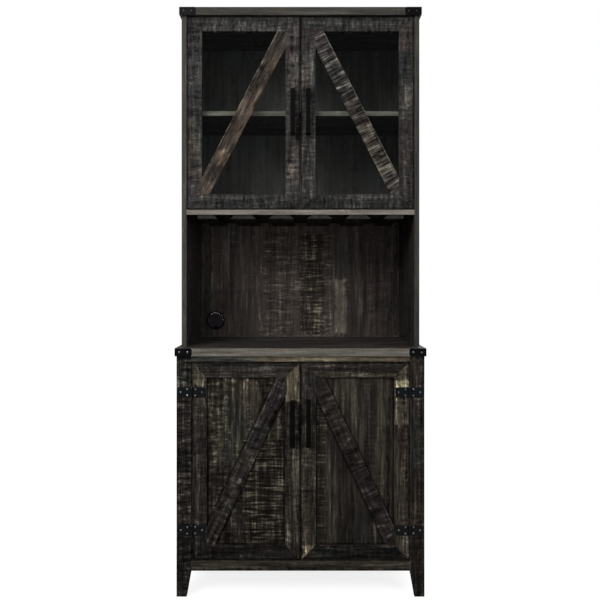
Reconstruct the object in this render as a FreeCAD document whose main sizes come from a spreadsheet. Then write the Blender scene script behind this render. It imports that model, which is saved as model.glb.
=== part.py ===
"""Free-standing bar cabinet: a two-door base under a hutch with an open bay and two glass doors.

Millimetres. +X is to the right, the front faces -Y and +Z is up. The origin is on the floor, in the
middle of the whole part's width and depth. Depths called "back" are measured from the front edge of
the counter towards the rear.
"""
import FreeCAD, Part
import math
import os
import Sketcher

# Driving dimensions, one cell of the sheet each.
SIZES = {
    # The carcass, as a whole
    "total_high": 1800.0,
    "base_wide": 750.0,
    "counter_high": 752.0,
    "counter_deep": 400.0,
    "counter_thick": 24.0,
    "counter_front_over": 9.0,
    "counter_side_over": 3.0,
    "hutch_side_inset": 7.0,
    "hutch_front_inset": 58.0,
    "bay_high": 408.0,
    "top_thick": 24.0,
    "top_front_over": 8.0,
    "top_side_over": 5.0,
    "board_thick": 15.0,
    "back_thick": 5.0,
    # Front posts, feet and rails of the base
    "post_wide": 44.0,
    "post_thick": 15.0,
    "foot_high": 78.0,
    "foot_wide": 30.0,
    "side_foot_wide": 50.0,
    "top_rail_high": 17.0,
    "bottom_rail_high": 30.0,
    # Loose shelves and the pins that carry them
    "shelf_side_gap": 1.0,
    "base_shelf_share": 0.484,
    "base_shelf_inset": 60.0,
    "inner_shelf_share": 0.4958,
    "inner_shelf_inset": 90.0,
    "pin_radius": 2.5,
    "pin_bite": 8.0,
    "pin_reach": 7.0,
    "pin_clear": 0.05,
    "pin_hole_spare": 1.0,
    "pin_front_inset": 110.0,
    "pin_rear_inset": 60.0,
    "pin_hole_pitch": 64.0,
    # Doors
    "door_gap": 2.5,
    "door_head_gap": 3.0,
    "door_thick": 18.0,
    "member_wide": 45.0,
    "groove_deep": 8.0,
    "groove_clear": 0.3,
    "panel_thick": 6.0,
    "panel_recess": 6.0,
    "glass_thick": 4.0,
    "glass_recess": 7.0,
    "brace_wide": 46.0,
    "brace_inset": 0.8,
    # Bar handles and the screws that hold them
    "handle_wide": 14.0,
    "handle_reach": 30.0,
    "handle_bar": 9.0,
    "handle_spacing": 128.0,
    "handle_leg": 9.5,
    "handle_round": 1.0,
    "lower_handle_drop": 182.0,
    "handle_screw_radius": 2.0,
    "handle_screw_bite": 9.0,
    "handle_screw_head_radius": 4.0,
    "handle_screw_head_high": 2.4,
    # Surface hinges of the lower doors
    "hinge_high": 30.0,
    "hinge_reach": 42.0,
    "hinge_from_end": 90.0,
    "leaf_thick": 1.5,
    "leaf_round": 2.5,
    "knuckle_radius": 3.2,
    "knuckle_off_face": 0.3,
    "knuckle_gap": 0.3,
    "knuckle_clear": 0.5,
    "hinge_pin_radius": 1.6,
    "hinge_pin_clear": 0.05,
    "hinge_pin_head_radius": 2.6,
    "hinge_pin_head_high": 1.2,
    "hinge_screw_near": 12.0,
    "hinge_screw_far": 32.5,
    "hinge_screw_spread": 9.5,
    # Small wood screws of the hinges and brackets
    "screw_radius": 1.8,
    "screw_bite": 10.0,
    "screw_clear": 0.05,
    "screw_head_radius": 3.1,
    "screw_head_crown": 1.9,
    "screw_head_high": 1.5,
    # Concealed cup hinges of the glass doors
    "cup_radius": 13.0,
    "cup_deep": 12.0,
    "cup_wall": 1.2,
    "cup_clear": 0.1,
    "cup_from_edge": 18.0,
    "cup_from_end": 90.0,
    "cup_flange_high": 44.0,
    "cup_flange_wide": 28.0,
    "cup_flange_thick": 1.2,
    "arm_gap": 0.3,
    "arm_high": 16.0,
    "arm_wide": 12.0,
    "arm_reach": 28.0,
    "arm_long": 62.0,
    "arm_nose": 6.0,
    "plate_high": 50.0,
    "plate_thick": 3.0,
    "plate_long": 40.0,
    # Magnetic catches of the lower doors
    "catch_middle": 44.0,
    "catch_wide": 34.0,
    "catch_deep": 18.0,
    "strike_wide": 30.0,
    "strike_high": 16.0,
    "strike_thick": 1.5,
    "strike_drop": 5.0,
    "catch_gap": 0.3,
    # Corner brackets of the counter and the top board
    "bracket_leg": 50.0,
    "bracket_thick": 1.2,
    "bracket_round": 6.0,
    "bracket_screw_near": 13.0,
    "bracket_screw_far": 37.5,
    # Stemware rails under the fixed shelf
    "rail_low_wide": 79.5,
    "rail_top_wide": 48.0,
    "stem_rail_high": 12.0,
    "rail_end_wide": 61.55,
    "rail_end_gap": 34.2,
    "rail_front_inset": 3.0,
    "rail_long": 320.0,
    "rail_screw_inset": 50.0,
    "rail_screw_bite": 9.0,
    # Cable grommet in the bay's back panel
    "grommet_from_side": 49.3,
    "grommet_rise": 58.6,
    "grommet_hole_radius": 30.0,
    "grommet_flange_radius": 32.5,
    "grommet_flange_thick": 2.5,
    "grommet_bore_radius": 27.5,
    "grommet_fit": 0.15,
    "grommet_web_thick": 1.5,
    "grommet_hub_radius": 6.0,
    "grommet_pin_radius": 3.0,
    "cap_clear": 0.3,
    "cap_pin_clear": 0.05,
    "cap_thick": 1.9,
    "cap_notch_radius": 8.0,
    # How far a cutting shape runs past the face that it cuts
    "overrun": 5.0,
}
RAIL_COUNT = 6
SHELF_HOLE_ROWS = (-1, 0, 1)

DOC = FreeCAD.newDocument("bar_cabinet")


class Length:
    """A length that knows its number and its formula over the sheet's cells."""

    def __init__(self, number, formula):
        self.number = number
        self.formula = formula

    def joined(self, sign, other, number):
        return Length(number, "(%s %s %s)" % (self.formula, sign, formula_of(other)))

    def __add__(self, other):
        return self.joined("+", other, self.number + number_of(other))

    def __sub__(self, other):
        return self.joined("-", other, self.number - number_of(other))

    def __mul__(self, other):
        return self.joined("*", other, self.number * number_of(other))

    def __truediv__(self, other):
        return self.joined("/", other, self.number / number_of(other))

    def __rmul__(self, other):
        return self * other

    def __neg__(self):
        return self * -1


def number_of(value):
    """The number of a Length or of a plain number."""
    return value.number if isinstance(value, Length) else float(value)


def formula_of(value):
    """The formula of a Length or of a plain number."""
    return value.formula if isinstance(value, Length) else "(%r)" % float(value)


def diagonal(across, up):
    """The diagonal of a rectangle."""
    number = math.hypot(across.number, up.number)
    return Length(number, "sqrt(%s^2 + %s^2)" % (across.formula, up.formula))


def make_sheet():
    """Writes the driving dimensions to a sheet and returns one Length for each, by name."""
    sheet = DOC.addObject("Spreadsheet::Sheet", "sizes")
    lengths = {}
    for row, (name, number) in enumerate(SIZES.items(), start=1):
        sheet.set("A%d" % row, name)
        sheet.set("B%d" % row, repr(number))
        sheet.setAlias("B%d" % row, name)
        lengths[name] = Length(number, "sizes.%s" % name)
    DOC.recompute()
    return type("Cells", (), lengths)


S = make_sheet()

# Places that several pieces share, worked out from the driving dimensions
HANDLE_OVER = S.handle_reach - S.counter_front_over
FRONT = -(S.counter_deep - HANDLE_OVER) / 2
BASE_FACE = FRONT + S.counter_front_over
HUTCH_FACE = FRONT + S.hutch_front_inset
REAR = FRONT + S.counter_deep
PANEL_FACE = REAR - S.back_thick
UNDER_COUNTER = S.counter_high - S.counter_thick
UNDER_TOP = S.total_high - S.top_thick
SHELF_LOW = S.counter_high + S.bay_high
SHELF_TOP = SHELF_LOW + S.board_thick
BASE_FLOOR = S.foot_high + S.bottom_rail_high
BASE_INNER = S.base_wide / 2 - S.board_thick
HUTCH_OUTER = S.base_wide / 2 - S.hutch_side_inset
HUTCH_INNER = HUTCH_OUTER - S.board_thick
POST_INNER = S.base_wide / 2 - S.post_wide
LOWER_DOOR_LOW = BASE_FLOOR + S.door_head_gap
LOWER_DOOR_HIGH = UNDER_COUNTER - S.top_rail_high - S.door_head_gap - LOWER_DOOR_LOW
LOWER_DOOR_WIDE = POST_INNER - S.door_gap - S.door_gap / 2
UPPER_DOOR_LOW = SHELF_TOP + S.door_head_gap
UPPER_DOOR_HIGH = UNDER_TOP - S.door_head_gap - UPPER_DOOR_LOW
UPPER_DOOR_WIDE = HUTCH_INNER - S.door_gap - S.door_gap / 2
BASE_SHELF_LOW = BASE_FLOOR + (UNDER_COUNTER - BASE_FLOOR) * S.base_shelf_share
RAIL_END = HUTCH_INNER - S.rail_end_gap
INNER_SHELF_LOW = SHELF_TOP + (UNDER_TOP - SHELF_TOP) * S.inner_shelf_share
HINGE_AXIS_OUT = S.knuckle_radius + S.knuckle_off_face
HINGE_HEIGHTS = (
    LOWER_DOOR_LOW + S.hinge_from_end,
    LOWER_DOOR_LOW + LOWER_DOOR_HIGH - S.hinge_from_end,
)
SIDES = (("left", -1), ("right", 1))

# Turns that lay a shape's own +Z along another axis
UPRIGHT = FreeCAD.Rotation()
TO_FRONT = FreeCAD.Rotation(FreeCAD.Vector(1, 0, 0), 90)
TO_REAR = FreeCAD.Rotation(FreeCAD.Vector(1, 0, 0), -90)
TO_RIGHT = FreeCAD.Rotation(FreeCAD.Vector(0, 1, 0), 90)
TO_LEFT = FreeCAD.Rotation(FreeCAD.Vector(0, 1, 0), -90)

NODES = []


def new(kind, name):
    """A new object of the document."""
    return DOC.addObject(kind, name)


def bind(thing, prop, value):
    """Ties a property to the sheet."""
    thing.setExpression(prop, formula_of(value))


def place(thing, at, turn=UPRIGHT):
    """Puts an object at a point that follows the sheet."""
    thing.Placement = FreeCAD.Placement(FreeCAD.Vector(0, 0, 0), turn)
    for axis, value in zip("xyz", at):
        bind(thing, "Placement.Base." + axis, value)
    return thing


def box(name, low, size):
    """A block from its lowest corner and its three sizes."""
    block = new("Part::Box", name)
    for prop, value in zip(("Length", "Width", "Height"), size):
        bind(block, prop, value)
    return place(block, low)


def middle_box(name, side_reach, low_y, low_z, deep, high):
    """A block that reaches as far to the left of the middle as to the right."""
    return box(name, (-side_reach, low_y, low_z), (side_reach * 2, deep, high))


def rod(name, at, radius, long, turn=UPRIGHT):
    """A cylinder that starts at a point and runs along its turned axis."""
    cylinder = new("Part::Cylinder", name)
    bind(cylinder, "Radius", radius)
    bind(cylinder, "Height", long)
    return place(cylinder, at, turn)


def crown(name, at, radius, crown_radius, high, turn=UPRIGHT):
    """A screw's raised head."""
    cone = new("Part::Cone", name)
    bind(cone, "Radius1", radius)
    bind(cone, "Radius2", crown_radius)
    bind(cone, "Height", high)
    return place(cone, at, turn)


def fused(name, shapes):
    """One solid from shapes that meet."""
    joined = new("Part::MultiFuse", name)
    joined.Shapes = shapes
    joined.Refine = True
    return joined


def group(name, shapes):
    """Separate solids kept as one object."""
    held = new("Part::Compound", name)
    held.Links = shapes
    return held


def cut(name, base, tools):
    """A shape with other shapes taken out of it."""
    left = new("Part::Cut", name)
    left.Base = base
    left.Tool = tools[0] if len(tools) == 1 else group(name + "_tools", tools)
    return left


def node(label, shape):
    """Names a finished sub-part; the label is also the name of its file."""
    shape.Label = label
    NODES.append(shape)
    return shape


def outline(body, plane, points, name):
    """A closed sketch of straight edges on one of the body's own planes, each corner tied to the sheet."""
    sketch = body.newObject("Sketcher::SketchObject", name)
    face = [item for item in body.Origin.OriginFeatures if item.Role == plane][0]
    sketch.AttachmentSupport = [(face, "")]
    sketch.MapMode = "FlatFace"
    corners = [FreeCAD.Vector(number_of(across), number_of(up), 0) for across, up in points]
    count = len(corners)
    for index in range(count):
        sketch.addGeometry(Part.LineSegment(corners[index], corners[(index + 1) % count]), False)
    for index in range(count):
        sketch.addConstraint(Sketcher.Constraint("Coincident", index, 2, (index + 1) % count, 1))
    for index, (across, up) in enumerate(points):
        for direction, value in (("DistanceX", across), ("DistanceY", up)):
            rule = Sketcher.Constraint(direction, -1, 1, index, 1, number_of(value))
            number = sketch.addConstraint(rule)
            sketch.setExpression("Constraints[%d]" % number, formula_of(value))
    return sketch


def slab(name, plane, points, thick, reverse=False, middle=False):
    """A body padded from an outline; the pad goes along the plane's normal unless it is reversed."""
    body = new("PartDesign::Body", name)
    add_slab(body, plane, points, thick, reverse, middle)
    return body


def add_slab(body, plane, points, thick, reverse=False, middle=False):
    """Adds one more padded outline to a body."""
    sketch = outline(body, plane, points, body.Name + "_sketch")
    pad = body.newObject("PartDesign::Pad", body.Name + "_pad")
    pad.Profile = sketch
    bind(pad, "Length", thick)
    pad.Reversed = reverse
    if middle:
        pad.SideType = "Symmetric"
    return pad


def round_edges(body, pad, radius, wanted):
    """Rounds the edges of a pad whose middle point passes the test."""
    DOC.recompute()
    names = []
    for index, edge in enumerate(pad.Shape.Edges, start=1):
        if wanted(edge, edge.CenterOfMass):
            names.append("Edge%d" % index)
    fillet = body.newObject("PartDesign::Fillet", body.Name + "_round")
    fillet.Base = (pad, names)
    bind(fillet, "Radius", radius)
    body.Tip = fillet
    return fillet


def same(first, second):
    """Whether two numbers of a shape agree."""
    return math.isclose(first, second, abs_tol=1e-6)


def along(edge, axis):
    """Whether an edge runs along an axis, given as x, y or z."""
    run = edge.Vertexes[-1].Point - edge.Vertexes[0].Point
    return same(abs(getattr(run, axis)), run.Length)


def screw(name, at, turn):
    """A small wood screw with a raised head; the point given is under the head."""
    head = crown(name + "_head", at, S.screw_head_radius, S.screw_head_crown, S.screw_head_high, turn)
    back = turn.multiply(FreeCAD.Rotation(FreeCAD.Vector(1, 0, 0), 180))
    shank = rod(name + "_shank", at, S.screw_radius, S.leaf_thick + S.screw_bite, back)
    return fused(name, [head, shank])


def pilot(name, at, turn):
    """The hole for a small wood screw, cut from the face that its head is on."""
    back = turn.multiply(FreeCAD.Rotation(FreeCAD.Vector(1, 0, 0), 180))
    deep = S.leaf_thick + S.screw_bite + S.screw_clear
    return rod(name, at, S.screw_radius + S.screw_clear, deep, back)


def shelf_pin_holes(name, face, side, low):
    """Three holes in each of two rows in a side panel, one above, at and below the pin's own hole."""
    turn = TO_RIGHT if side > 0 else TO_LEFT
    holes = []
    for row, back in enumerate((FRONT + S.pin_front_inset, PANEL_FACE - S.pin_rear_inset)):
        for step in SHELF_HOLE_ROWS:
            at = (face, back, low - S.pin_radius + step * S.pin_hole_pitch)
            label = "%s_%d_%d" % (name, row, step + 1)
            holes.append(rod(label, at, S.pin_radius + S.pin_clear, S.pin_bite + S.pin_hole_spare, turn))
    return holes


def make_base():
    """The base's side panels, posts, rails, bottom, back and loose shelf."""
    foot_taper = S.post_wide - S.foot_wide
    side_front = S.counter_front_over + S.post_thick
    heel = S.counter_front_over + S.side_foot_wide
    rear_heel = S.counter_deep - S.side_foot_wide
    side_outline = (
        (side_front, 0),
        (heel - foot_taper, 0),
        (heel, S.foot_high),
        (rear_heel, S.foot_high),
        (rear_heel + foot_taper, 0),
        (S.counter_deep, 0),
        (S.counter_deep, UNDER_COUNTER),
        (side_front, UNDER_COUNTER),
    )
    for name, side in SIDES:
        panel = slab("base_side_%s_board" % name, "YZ_Plane", side_outline, S.board_thick)
        place(panel, (-S.base_wide / 2 if side < 0 else BASE_INNER, FRONT, 0))
        holes = shelf_pin_holes("base_holes_" + name, side * BASE_INNER, side, BASE_SHELF_LOW)
        node("base_side_" + name, cut("base_side_%s_drilled" % name, panel, holes))
        post_outline = (
            (0, 0),
            (-side * S.foot_wide, 0),
            (-side * S.post_wide, S.foot_high),
            (-side * S.post_wide, UNDER_COUNTER),
            (0, UNDER_COUNTER),
        )
        post = slab("post_%s_board" % name, "XZ_Plane", post_outline, S.post_thick, reverse=True)
        place(post, (side * S.base_wide / 2, BASE_FACE, 0))
        holes = [pilot("post_hole_%s_%d" % (name, index), at, TO_FRONT)
                 for index, at in enumerate(hinge_screw_points(side, 1))]
        node("front_post_" + name, cut("post_%s_drilled" % name, post, holes))
    rail_top = middle_box("rail_top", POST_INNER, BASE_FACE, UNDER_COUNTER - S.top_rail_high,
                          S.post_thick, S.top_rail_high)
    node("base_top_rail", rail_top)
    rail_low = middle_box("rail_low", POST_INNER, BASE_FACE, S.foot_high, S.post_thick, S.bottom_rail_high)
    node("base_bottom_rail", rail_low)
    inside = BASE_FACE + S.post_thick
    bottom_low = BASE_FLOOR - S.board_thick
    node("base_bottom_board",
         middle_box("bottom_board", BASE_INNER, inside, bottom_low, PANEL_FACE - inside, S.board_thick))
    node("base_back_panel",
         middle_box("base_back", BASE_INNER, PANEL_FACE, bottom_low,
                    S.back_thick, UNDER_COUNTER - bottom_low))
    shelf_front = FRONT + S.base_shelf_inset
    node("base_shelf",
         middle_box("base_loose_shelf", BASE_INNER - S.shelf_side_gap, shelf_front, BASE_SHELF_LOW,
                    PANEL_FACE - S.shelf_side_gap - shelf_front, S.board_thick))


def make_counter():
    """The counter board, drilled for the brackets' screws."""
    reach = S.base_wide / 2 + S.counter_side_over
    board = middle_box("counter_board", reach, FRONT, UNDER_COUNTER, S.counter_deep, S.counter_thick)
    middle = UNDER_COUNTER + S.counter_thick / 2
    holes = bracket_pilots("counter_pilot", reach, FRONT, middle)
    node("counter_top", cut("counter_drilled", board, holes))


def make_hutch():
    """The hutch's side panels, shelves, top board and drilled back panel."""
    deep = S.counter_deep - S.hutch_front_inset
    for name, side in SIDES:
        low_x = -HUTCH_OUTER if side < 0 else HUTCH_INNER
        panel = box("hutch_board_" + name, (low_x, HUTCH_FACE, S.counter_high),
                    (S.board_thick, deep, UNDER_TOP - S.counter_high))
        holes = shelf_pin_holes("hutch_holes_" + name, side * HUTCH_INNER, side, INNER_SHELF_LOW)
        node("hutch_side_" + name, cut("hutch_side_%s_drilled" % name, panel, holes))
    shelf_deep = PANEL_FACE - HUTCH_FACE
    shelf = middle_box("fixed_board", HUTCH_INNER, HUTCH_FACE, SHELF_LOW, shelf_deep, S.board_thick)
    wide = S.screw_radius + S.screw_clear
    deep_hole = S.rail_screw_bite + S.screw_clear
    holes = [rod("shelf_pilot_%d" % index, (x, y, SHELF_LOW), wide, deep_hole)
             for index, (x, y) in enumerate(rail_screw_places())]
    node("fixed_shelf", cut("fixed_shelf_drilled", shelf, holes))
    inner_front = FRONT + S.inner_shelf_inset
    node("inner_shelf",
         middle_box("inner_loose_shelf", HUTCH_INNER - S.shelf_side_gap, inner_front, INNER_SHELF_LOW,
                    PANEL_FACE - S.shelf_side_gap - inner_front, S.board_thick))
    top_reach = HUTCH_OUTER + S.top_side_over
    top_face = HUTCH_FACE - S.top_front_over
    top = middle_box("top_plank", top_reach, top_face, UNDER_TOP, REAR - top_face, S.top_thick)
    holes = bracket_pilots("top_pilot", top_reach, top_face, UNDER_TOP + S.top_thick / 2)
    node("top_board", cut("top_drilled", top, holes))
    back = middle_box("hutch_back", HUTCH_INNER, PANEL_FACE, S.counter_high, S.back_thick,
                      UNDER_TOP - S.counter_high)
    hole = rod("grommet_hole", grommet_point(PANEL_FACE - S.overrun), S.grommet_hole_radius,
               S.back_thick + S.overrun * 2, TO_REAR)
    node("hutch_back_panel", cut("hutch_back_drilled", back, [hole]))


def make_shelf_pins():
    """Four pins under each loose shelf."""
    pins = []
    shelves = (("base", BASE_INNER, BASE_SHELF_LOW), ("hutch", HUTCH_INNER, INNER_SHELF_LOW))
    for place_name, inner, low in shelves:
        for name, side in SIDES:
            turn = TO_LEFT if side > 0 else TO_RIGHT
            for row, back in enumerate((FRONT + S.pin_front_inset, PANEL_FACE - S.pin_rear_inset)):
                at = (side * (inner + S.pin_bite), back, low - S.pin_radius)
                label = "pin_%s_%s_%d" % (place_name, name, row)
                pins.append(rod(label, at, S.pin_radius, S.pin_bite + S.pin_reach, turn))
    node("shelf_pins", group("all_pins", pins))


def bracket_screw_points(reach, face, middle):
    """The points under the heads of a board's bracket screws, with the way that each head faces."""
    points = []
    for name, side in SIDES:
        side_turn = TO_RIGHT if side > 0 else TO_LEFT
        for inward in (S.bracket_screw_near, S.bracket_screw_far):
            points.append(((side * (reach - inward), face - S.bracket_thick, middle), TO_FRONT))
            points.append(((side * (reach + S.bracket_thick), face + inward, middle), side_turn))
    return points


def bracket_pilots(name, reach, face, middle):
    """The screw holes that a board has under its brackets."""
    points = bracket_screw_points(reach, face, middle)
    return [pilot("%s_%d" % (name, index), at, turn) for index, (at, turn) in enumerate(points)]


def corner_bracket(name, side, reach, face, low, high):
    """One bent plate that wraps a board's front corner, with rounded ends."""
    leg = S.bracket_leg
    thick = S.bracket_thick
    body = new("PartDesign::Body", name)
    front_leg = ((side * thick, 0), (-side * leg, 0), (-side * leg, high), (side * thick, high))
    add_slab(body, "XZ_Plane", front_leg, thick)
    side_leg = ((-thick, 0), (leg, 0), (leg, high), (-thick, high))
    pad = add_slab(body, "YZ_Plane", side_leg, thick, reverse=side < 0)

    def leg_end(edge, middle):
        front_end = along(edge, "y") and same(middle.x, -side * leg.number)
        side_end = along(edge, "x") and same(middle.y, leg.number)
        return front_end or side_end

    round_edges(body, pad, S.bracket_round, leg_end)
    return place(body, (side * reach, face, low))


def make_brackets():
    """Brackets and screws on the front corners of the counter and the top board."""
    brackets = []
    screws = []
    boards = (
        ("counter", S.base_wide / 2 + S.counter_side_over, FRONT, UNDER_COUNTER, S.counter_thick),
        ("top", HUTCH_OUTER + S.top_side_over, HUTCH_FACE - S.top_front_over, UNDER_TOP, S.top_thick),
    )
    for board, reach, face, low, high in boards:
        points = bracket_screw_points(reach, face, low + high / 2)
        holes = [pilot("%s_bracket_hole_%d" % (board, index), at, turn)
                 for index, (at, turn) in enumerate(points)]
        pair = group(board + "_bracket_pair", [
            corner_bracket("%s_bracket_%s" % (board, name), side, reach, face, low, high)
            for name, side in SIDES])
        brackets.append(cut(board + "_brackets_drilled", pair, holes))
        for index, (at, turn) in enumerate(points):
            screws.append(screw("%s_bracket_screw_%d" % (board, index), at, turn))
    node("corner_brackets", group("all_brackets", brackets))
    node("bracket_screws", group("all_bracket_screws", screws))


def rail_places():
    """The middle of each stemware rail, from left to right, as if the end ones weren't cut."""
    last = RAIL_END - S.rail_end_wide + S.rail_low_wide / 2
    steps = RAIL_COUNT - 1
    return [last * (index * 2 - steps) / steps for index in range(RAIL_COUNT)]


def rail_screw_places():
    """Where the two screws of each stemware rail go, as x and y."""
    front = HUTCH_FACE + S.rail_front_inset
    backs = (front + S.rail_screw_inset, front + S.rail_long - S.rail_screw_inset)
    return [(middle, back) for middle in rail_places() for back in backs]


def make_stemware_rails():
    """Rails with slanted sides that hold glasses by the foot; the end ones are cut off square."""
    rails = []
    half_low = S.rail_low_wide / 2
    half_top = S.rail_top_wide / 2
    for index, middle in enumerate(rail_places()):
        low_left, low_right = middle - half_low, middle + half_low
        top_left, top_right = middle - half_top, middle + half_top
        if index == 0:
            low_left = top_left = -RAIL_END
        if index == RAIL_COUNT - 1:
            low_right = top_right = RAIL_END
        high = S.stem_rail_high
        section = ((low_left, 0), (low_right, 0), (top_right, high), (top_left, high))
        rail = slab("stemware_bar_%d" % index, "XZ_Plane", section, S.rail_long, reverse=True)
        rails.append(place(rail, (0, HUTCH_FACE + S.rail_front_inset, SHELF_LOW - S.stem_rail_high)))
    low = SHELF_LOW - S.stem_rail_high
    seat = low + S.screw_head_high
    holes = []
    screws = []
    sink_radius = S.screw_head_radius + S.screw_clear
    hole_radius = S.screw_radius + S.screw_clear
    shank_long = SHELF_LOW + S.rail_screw_bite - seat
    for index, (x, y) in enumerate(rail_screw_places()):
        holes.append(rod("rail_sink_%d" % index, (x, y, low), sink_radius, S.screw_head_high))
        holes.append(rod("rail_hole_%d" % index, (x, y, low), hole_radius, S.stem_rail_high))
        head = rod("rail_screw_head_%d" % index, (x, y, low), S.screw_head_radius, S.screw_head_high)
        shank = rod("rail_screw_shank_%d" % index, (x, y, seat), S.screw_radius, shank_long)
        screws.append(fused("rail_screw_%d" % index, [head, shank]))
    node("stemware_rails", cut("rails_drilled", group("all_rails", rails), holes))
    node("rail_screws", group("all_rail_screws", screws))


def grommet_point(y):
    """A point on the cable grommet's axis."""
    return (S.grommet_from_side - HUTCH_INNER, y, S.counter_high + S.grommet_rise)


def make_grommet():
    """A flanged ring with a half web, and the cap that turns on the web's hub."""
    flange_face = PANEL_FACE - S.grommet_flange_thick
    web_face = flange_face + S.cap_thick + S.cap_clear * 2
    flange = rod("ring_flange", grommet_point(flange_face), S.grommet_flange_radius,
                 S.grommet_flange_thick, TO_REAR)
    sleeve = rod("ring_sleeve", grommet_point(PANEL_FACE), S.grommet_hole_radius - S.grommet_fit,
                 S.back_thick, TO_REAR)
    bore = rod("ring_bore", grommet_point(flange_face - S.overrun), S.grommet_bore_radius,
               S.grommet_flange_thick + S.back_thick + S.overrun * 2, TO_REAR)
    shell = cut("ring_shell", fused("ring_outside", [flange, sleeve]), [bore])
    web_disc = rod("web_disc", grommet_point(web_face), S.grommet_bore_radius + S.grommet_fit,
                   S.grommet_web_thick, TO_REAR)
    x, y, z = grommet_point(web_face - S.overrun)
    wide = S.grommet_bore_radius * 2
    upper_half = box("web_upper_half", (x - wide, y, z),
                     (wide * 2, S.grommet_web_thick + S.overrun * 2, wide))
    half_web = cut("half_web", web_disc, [upper_half])
    hub = rod("web_hub", grommet_point(web_face), S.grommet_hub_radius, S.grommet_web_thick, TO_REAR)
    hub_hole = rod("web_hub_hole", grommet_point(web_face - S.overrun),
                   S.grommet_pin_radius + S.cap_pin_clear, S.grommet_web_thick + S.overrun * 2, TO_REAR)
    node("grommet_ring", cut("ring_whole", fused("ring_and_web", [shell, half_web, hub]), [hub_hole]))
    cap_face = flange_face + S.cap_clear
    cap_radius = S.grommet_bore_radius - S.cap_clear
    disc = rod("cap_disc", grommet_point(cap_face), cap_radius, S.cap_thick, TO_REAR)
    pin_long = S.cap_thick + S.cap_clear + S.grommet_web_thick + S.cap_clear
    pin = rod("cap_pin", grommet_point(cap_face), S.grommet_pin_radius, pin_long, TO_REAR)
    x, y, z = grommet_point(cap_face - S.overrun)
    notch = rod("cap_notch", (x, y, z - cap_radius), S.cap_notch_radius,
                S.cap_thick + S.overrun * 2, TO_REAR)
    node("grommet_cap", cut("cap_notched", fused("cap_and_pin", [disc, pin]), [notch]))


def hinge_axis_x(side):
    """The x of a lower door's hinge line, in the middle of the gap beside the post."""
    return side * (POST_INNER - S.door_gap / 2)


def hinge_screw_points(side, outward):
    """The points under the heads of the screws in one column of hinge leaves.

    Outward is 1 for the leaves on the post and -1 for those on the door.
    """
    face = BASE_FACE - S.leaf_thick
    points = []
    for height in HINGE_HEIGHTS:
        near = hinge_axis_x(side) + side * outward * S.hinge_screw_near
        far = hinge_axis_x(side) + side * outward * S.hinge_screw_far
        points.append((near, face, height - S.hinge_screw_spread))
        points.append((near, face, height + S.hinge_screw_spread))
        points.append((far, face, height))
    return points


def hinge_leaf(name, side, outward, height):
    """One leaf with its share of the knuckles; the door's leaf has the middle one."""
    toward = side * outward
    segment = (S.hinge_high - S.knuckle_gap * 2) / 3
    clear = S.knuckle_radius + S.knuckle_clear
    inner_low = segment + S.knuckle_gap if outward < 0 else segment
    inner_high = S.hinge_high - inner_low
    shoulder, tongue = (clear, 0) if outward < 0 else (0, clear)
    section = (
        (toward * S.hinge_reach, 0),
        (toward * shoulder, 0),
        (toward * shoulder, inner_low),
        (toward * tongue, inner_low),
        (toward * tongue, inner_high),
        (toward * shoulder, inner_high),
        (toward * shoulder, S.hinge_high),
        (toward * S.hinge_reach, S.hinge_high),
    )
    body = new("PartDesign::Body", name + "_plate")
    pad = add_slab(body, "XZ_Plane", section, S.leaf_thick)

    def outer_corner(edge, middle):
        return along(edge, "y") and same(middle.x, toward * S.hinge_reach.number)

    round_edges(body, pad, S.leaf_round, outer_corner)
    low = height - S.hinge_high / 2
    plate = place(body, (hinge_axis_x(side), BASE_FACE, low))
    starts = [segment + S.knuckle_gap] if outward < 0 else [0, S.hinge_high - segment]
    x, y = hinge_axis_x(side), BASE_FACE - HINGE_AXIS_OUT
    knuckles = [rod("%s_knuckle_%d" % (name, index), (x, y, low + start), S.knuckle_radius, segment)
                for index, start in enumerate(starts)]
    bore = rod(name + "_bore", (x, y, low - S.overrun),
               S.hinge_pin_radius + S.hinge_pin_clear, S.hinge_high + S.overrun * 2)
    return cut(name, fused(name + "_whole", [plate] + knuckles), [bore])


def hinge_leaves(name, side, outward):
    """The leaves of one column, drilled for their screws."""
    leaves = [hinge_leaf("%s_leaf_%d" % (name, index), side, outward, height)
              for index, height in enumerate(HINGE_HEIGHTS)]
    holes = [pilot("%s_leaf_hole_%d" % (name, index), at, TO_FRONT)
             for index, at in enumerate(hinge_screw_points(side, outward))]
    return cut(name + "_leaves_drilled", group(name + "_leaves_pair", leaves), holes)


def hinge_screws(name, side, outward):
    """The screws of one column of leaves."""
    return [screw("%s_hinge_screw_%d" % (name, index), at, TO_FRONT)
            for index, at in enumerate(hinge_screw_points(side, outward))]


def hinge_pin(name, side, height):
    """A hinge pin with a round head at each end."""
    x, y = hinge_axis_x(side), BASE_FACE - HINGE_AXIS_OUT
    low = height - S.hinge_high / 2
    head_high = S.hinge_pin_head_high
    stem = rod(name + "_stem", (x, y, low), S.hinge_pin_radius, S.hinge_high)
    foot = rod(name + "_foot", (x, y, low - head_high), S.hinge_pin_head_radius, head_high)
    head = rod(name + "_head", (x, y, low + S.hinge_high), S.hinge_pin_head_radius, head_high)
    return fused(name, [stem, foot, head])


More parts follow.
